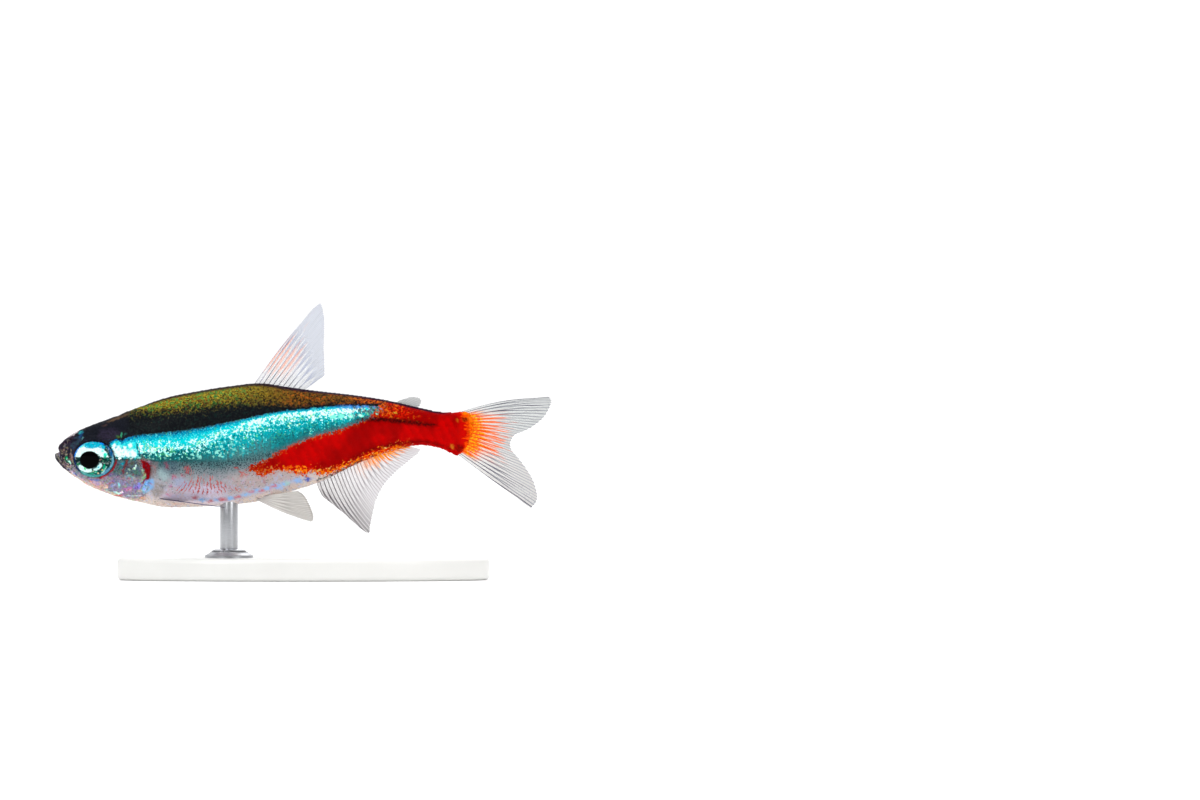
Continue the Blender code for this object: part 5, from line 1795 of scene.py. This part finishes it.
def makeFinFinish(kind, shape):
    look = finInks[kind]
    made, shader = startMaterial(f"{kind} fin web", {
        "Roughness": 0.5, "Coat Weight": 0.03, "Coat Roughness": 0.3, "Specular IOR Level": 0.1})
    where = inMillimetres()
    parts = axesOf(where)
    lot = reading("ray")
    out = reading("out")
    across = reading("across")
    ways = joined(lot * 5.0, out * 3.0)
    streaks = noise(ways, 1.0, detail=3)
    strand = streaks - 0.5
    fine = noise(where, 5.0, detail=3)
    onRay = rayLines(lot, out, shape, look["line"])
    free = reading("free")
    web = blend(fine, ink(*look["web"]), ink(*[v - 14 for v in look["web"]]))
    web = blend(stepUp(streaks, 0.48, 0.6) * 0.5, web, ink(*[v - 34 for v in look["web"]]))
    fade = (0.12, 0.40) if kind == "dorsal" else (0.10, 0.62)
    rayInk = blend(stepUp(strand * 0.6 + out, *fade), ink(*look["root"]), ink(*look["tip"]))
    thin, full = look["alpha"]
    webShown = ranged(out, 0.0, 0.5, 0.5 * thin, thin)
    shown = onRay * (full - webShown) + webShown
    if kind == "dorsal":
        # orange streaks beside the front rays, in the fin's lower half
        beside = rayLines(lot - 0.3, out, {"split": (1, 1.0)}, 0.28)
        warm = beside * stepUp(across, 0.66, 0.4)
        uneven = strand * 1.2 + out
        warm = warm * (stepUp(uneven, 0.14, 0.3) * stepUp(uneven, 0.62, 0.48))
        web = blend(warm * 0.75, web, ink(252, 172, 140))
        shown = larger(shown, warm * 0.66)
        rayInk = blend(warm * 0.7, rayInk, ink(236, 176, 160))
        rayInk = blend(stepUp(across, 0.16, 0.08) * stepUp(out, 0.8, 0.5), rayInk, ink(148, 144, 172))
    if kind == "anal":
        low = strand * -3.4 + free
        orange = stepUp(low, 0.8, 0.25) * stepUp(parts[0], 3.2, 5.4)
        web = blend(stepUp(across, 0.2, 0.5), web, ink(233, 231, 234))
        web = blend(orange, web, ink(255, 156, 14))
        front = stepUp(across, 0.46, 0.12)
        mainRay = rayLines(lot, out, {"split": (1, 1.0)}, 0.15)
        mainRay = mainRay * (front * stepUp(out, 0.35, 0.6))
        onRay = larger(onRay, mainRay * 0.9)
        shown = larger(shown, mainRay * 0.9)
        rayInk = blend(front * 0.85, rayInk, ink(76, 70, 76))
        rayInk = blend(orange, rayInk, ink(250, 120, 16))
        shown = larger(shown, orange * 0.9)
    if kind == "tail":
        # solid orange at the flesh, and from there streaks on the rays
        run = joined(parts[0] - 11.5, parts[2] * 0.8 - 8.56)
        far = addNode("VectorMath", {0: run}, "Value", operation="LENGTH")
        inner = stepUp(across, 0.12, 0.22) * stepUp(across, 0.84, 0.7)
        middle = stepUp(across, 0.04, 0.14) * stepUp(across, 0.95, 0.87)
        hot = stepUp(strand * -3.0 + far, 2.05, 1.45) * middle
        streak = stepUp(strand * -8.0 + far, 3.1, 2.1) * inner
        wideRay = rayLines(lot, out, shape, 0.34)
        orange = larger(hot, streak * wideRay)
        hotInk = blend(stepUp(fine, 0.42, 0.6), ink(255, 104, 0), ink(255, 170, 8))
        web = blend(stepUp(parts[2], 8.6, 9.8), ink(219, 217, 215), web)
        speckle = stepUp(noise(where, 9.0, detail=2), 0.52, 0.66) * stepUp(parts[2], 8.0, 6.4)
        web = blend(speckle * 0.6, web, ink(168, 168, 176))
        web = blend(streak * 0.35, web, ink(255, 206, 176))
        web = blend(orange, web, blend(hot, ink(255, 120, 44), hotInk))
        brim = larger(stepUp(across, 0.26, 0.12), stepUp(across, 0.72, 0.9))
        brim = brim * stepUp(strand * 2.4 + out, 0.95, 0.4)
        rim = larger(stepUp(across, 0.05, 0.02), stepUp(across, 0.95, 0.98))
        rayInk = blend(larger(brim, rim), rayInk, ink(62, 58, 84))
        rayInk = blend(orange, rayInk, blend(hot, ink(250, 104, 36), ink(236, 62, 0)))
        shown = larger(shown, orange * (hot * 0.14 + 0.84))
    colour = blend(onRay, web, rayInk)
    plug(shader, {"Base Color": colour, "Alpha": shown})
    bump(shader, streaks, 0.006, 0.3)
    return made


# Display stand

stand = {
    "length": 27.0,
    "width": 14.0,
    "thick": 1.6,
    "bevel": 0.35,
    "grooveIn": 1.1,            # from the rim, on the base's top
    "grooveWide": 0.12,
    "grooveDeep": 0.10,
    "collarRadius": 1.75,
    "collarHeight": 0.7,
    # how far each step of the collar draws in and rises
    "collarSteps": [(0.97, 0.04), (0.84, 0.16), (0.86, 0.10), (0.97, 0.10), (0.80, 0.10), (0.62, 0.02)],
    "rodRadius": 0.65,
    "rodX": -5.40,
    "rodTop": 5.42,
}


def selectFaces(piece, wanted):
    bpy.ops.object.mode_set(mode="OBJECT")
    for face in piece.data.polygons:
        face.select = bool(wanted(face))
    bpy.ops.object.mode_set(mode="EDIT")
    bpy.ops.mesh.select_mode(type="FACE")


def turnedRing(steps):
    # extrudes the selected top face through a run of (scale, rise) steps
    for grow, rise in steps:
        bpy.ops.mesh.extrude_region_move(TRANSFORM_OT_translate={"value": (0, 0, rise)})
        bpy.ops.transform.resize(value=(grow, grow, 1), center_override=(0, 0, 0))


def makeStandBase(board):
    piece = startPiece(
        bpy.ops.mesh.primitive_cylinder_add, vertices=192, radius=0.5, depth=stand["thick"],
        location=(0, 0, stand["thick"] / 2), end_fill_type="NGON",
    )
    piece.scale = (stand["length"], stand["width"], 1)
    bpy.ops.object.transform_apply(location=True, rotation=True, scale=True)
    bpy.ops.object.mode_set(mode="EDIT")
    selectFaces(piece, lambda face: face.normal.z > 0.9)
    for wide, deep in ((stand["grooveIn"], 0), (stand["grooveWide"], -1), (stand["grooveWide"], 1)):
        bpy.ops.mesh.inset(thickness=wide, depth=deep * stand["grooveDeep"])
    bpy.ops.object.mode_set(mode="OBJECT")
    easeEdges(piece, stand["bevel"], 5, 60)
    return finishPiece(piece, "stand_base_finished", board, "board", "stand_base", smoothUnder=35)


def makeCollar(steel):
    r, top = stand["collarRadius"], stand["thick"]
    piece = startPiece(
        bpy.ops.mesh.primitive_cylinder_add, vertices=96, radius=1, depth=0.2, location=(0, 0, 0.1)
    )
    bpy.ops.object.mode_set(mode="EDIT")
    selectFaces(piece, lambda face: face.normal.z > 0.9)
    turnedRing(stand["collarSteps"])
    bpy.ops.object.mode_set(mode="OBJECT")
    points = readPoints(piece.data)
    points[:, 0] = points[:, 0] * r + stand["rodX"]
    points[:, 1] *= r
    points[:, 2] = points[:, 2] * stand["collarHeight"] / points[:, 2].max() + top - 0.02
    writePoints(piece.data, points)
    easeEdges(piece, 0.04, 3, 25)
    return finishPiece(piece, "stand_collar", steel, "steel", smoothUnder=35)


def makeRod(steel):
    low, high = stand["thick"], stand["rodTop"]
    piece = startPiece(
        bpy.ops.mesh.primitive_cylinder_add, vertices=64, radius=stand["rodRadius"], depth=high - low,
        location=(stand["rodX"], 0, (high + low) / 2),
    )
    bpy.ops.object.transform_apply(location=True, rotation=True, scale=True)
    points = readPoints(piece.data)
    top = points[:, 2] > high - 0.01
    x, y = points[:, 0], points[:, 1]
    cup = np.array([bellyUnder(a, b) for a, b in zip(x[top], y[top])])
    points[top, 2] = cup + 0.02
    writePoints(piece.data, points)
    easeEdges(piece, 0.06, 3, 40)
    return finishPiece(piece, "stand_rod_finished", steel, "steel", "stand_rod", smoothUnder=35)


def bellyUnder(x, y):
    # height of the belly's underside over a place of the stand
    line = bodyLines[np.argmin(np.abs(bodyLines[:, 2] - x))]
    belt = line[1] + (line[3] - line[1]) * body["belt"]
    bow = body["bellyRound"]
    off = min(abs(y) / line[4], 1.0)
    return belt - (belt - line[3]) * (1 - off**bow) ** (1 / bow)


def makeBoard():
    made, shader = startMaterial(
        "white lacquer", {"Roughness": 0.34, "Coat Weight": 0.3, "Coat Roughness": 0.18}
    )
    where = inMillimetres()
    cloud = noise(where, 0.35, detail=3)
    peel = noise(where, 2.4, detail=2)
    plug(shader, {"Base Color": blend(cloud, ink(226, 226, 223), ink(236, 236, 233))})
    bump(shader, peel, 0.012, 0.35)
    return made


def makeSteel():
    made, shader = startMaterial("brushed steel", {"Metallic": 1.0})
    lines = noise(inMillimetres((1, 1, 14)), 2.0, detail=3)
    colour = blend(lines, ink(168, 170, 174), ink(206, 208, 212))
    plug(shader, {"Base Color": colour, "Roughness": ranged(lines, 0.0, 1.0, 0.22, 0.42)})
    bump(shader, lines, 0.004, 0.4)
    return made


makeCamera()
makeLights()
makeBackdrop()
print("stage set")
livery = makeLivery("livery")
makeSkin(livery)
makeScales(-1, "scales_left", livery)
makeScales(1, "scales_right", livery)
iris = makeIris()
makeEye(-1, "eye_left", iris)
makeEye(1, "eye_right", iris)
finishes = {look["kind"]: look for look in fins.values()}
finishes = {kind: makeFinFinish(kind, look) for kind, look in finishes.items()}
for finName, finLook in fins.items():
    makeFin(finName, finLook, finishes[finLook["kind"]], "tail" if finLook["kind"] == "tail" else "fin")
makeStandBase(makeBoard())
steel = makeSteel()
makeCollar(steel)
makeRod(steel)
print("pieces made")

json.dump(
    {"cad": [list(corner) for corner in cadBox], "visual": [list(corner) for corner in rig.bounds()]},
    open("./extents.json", "w"),
)
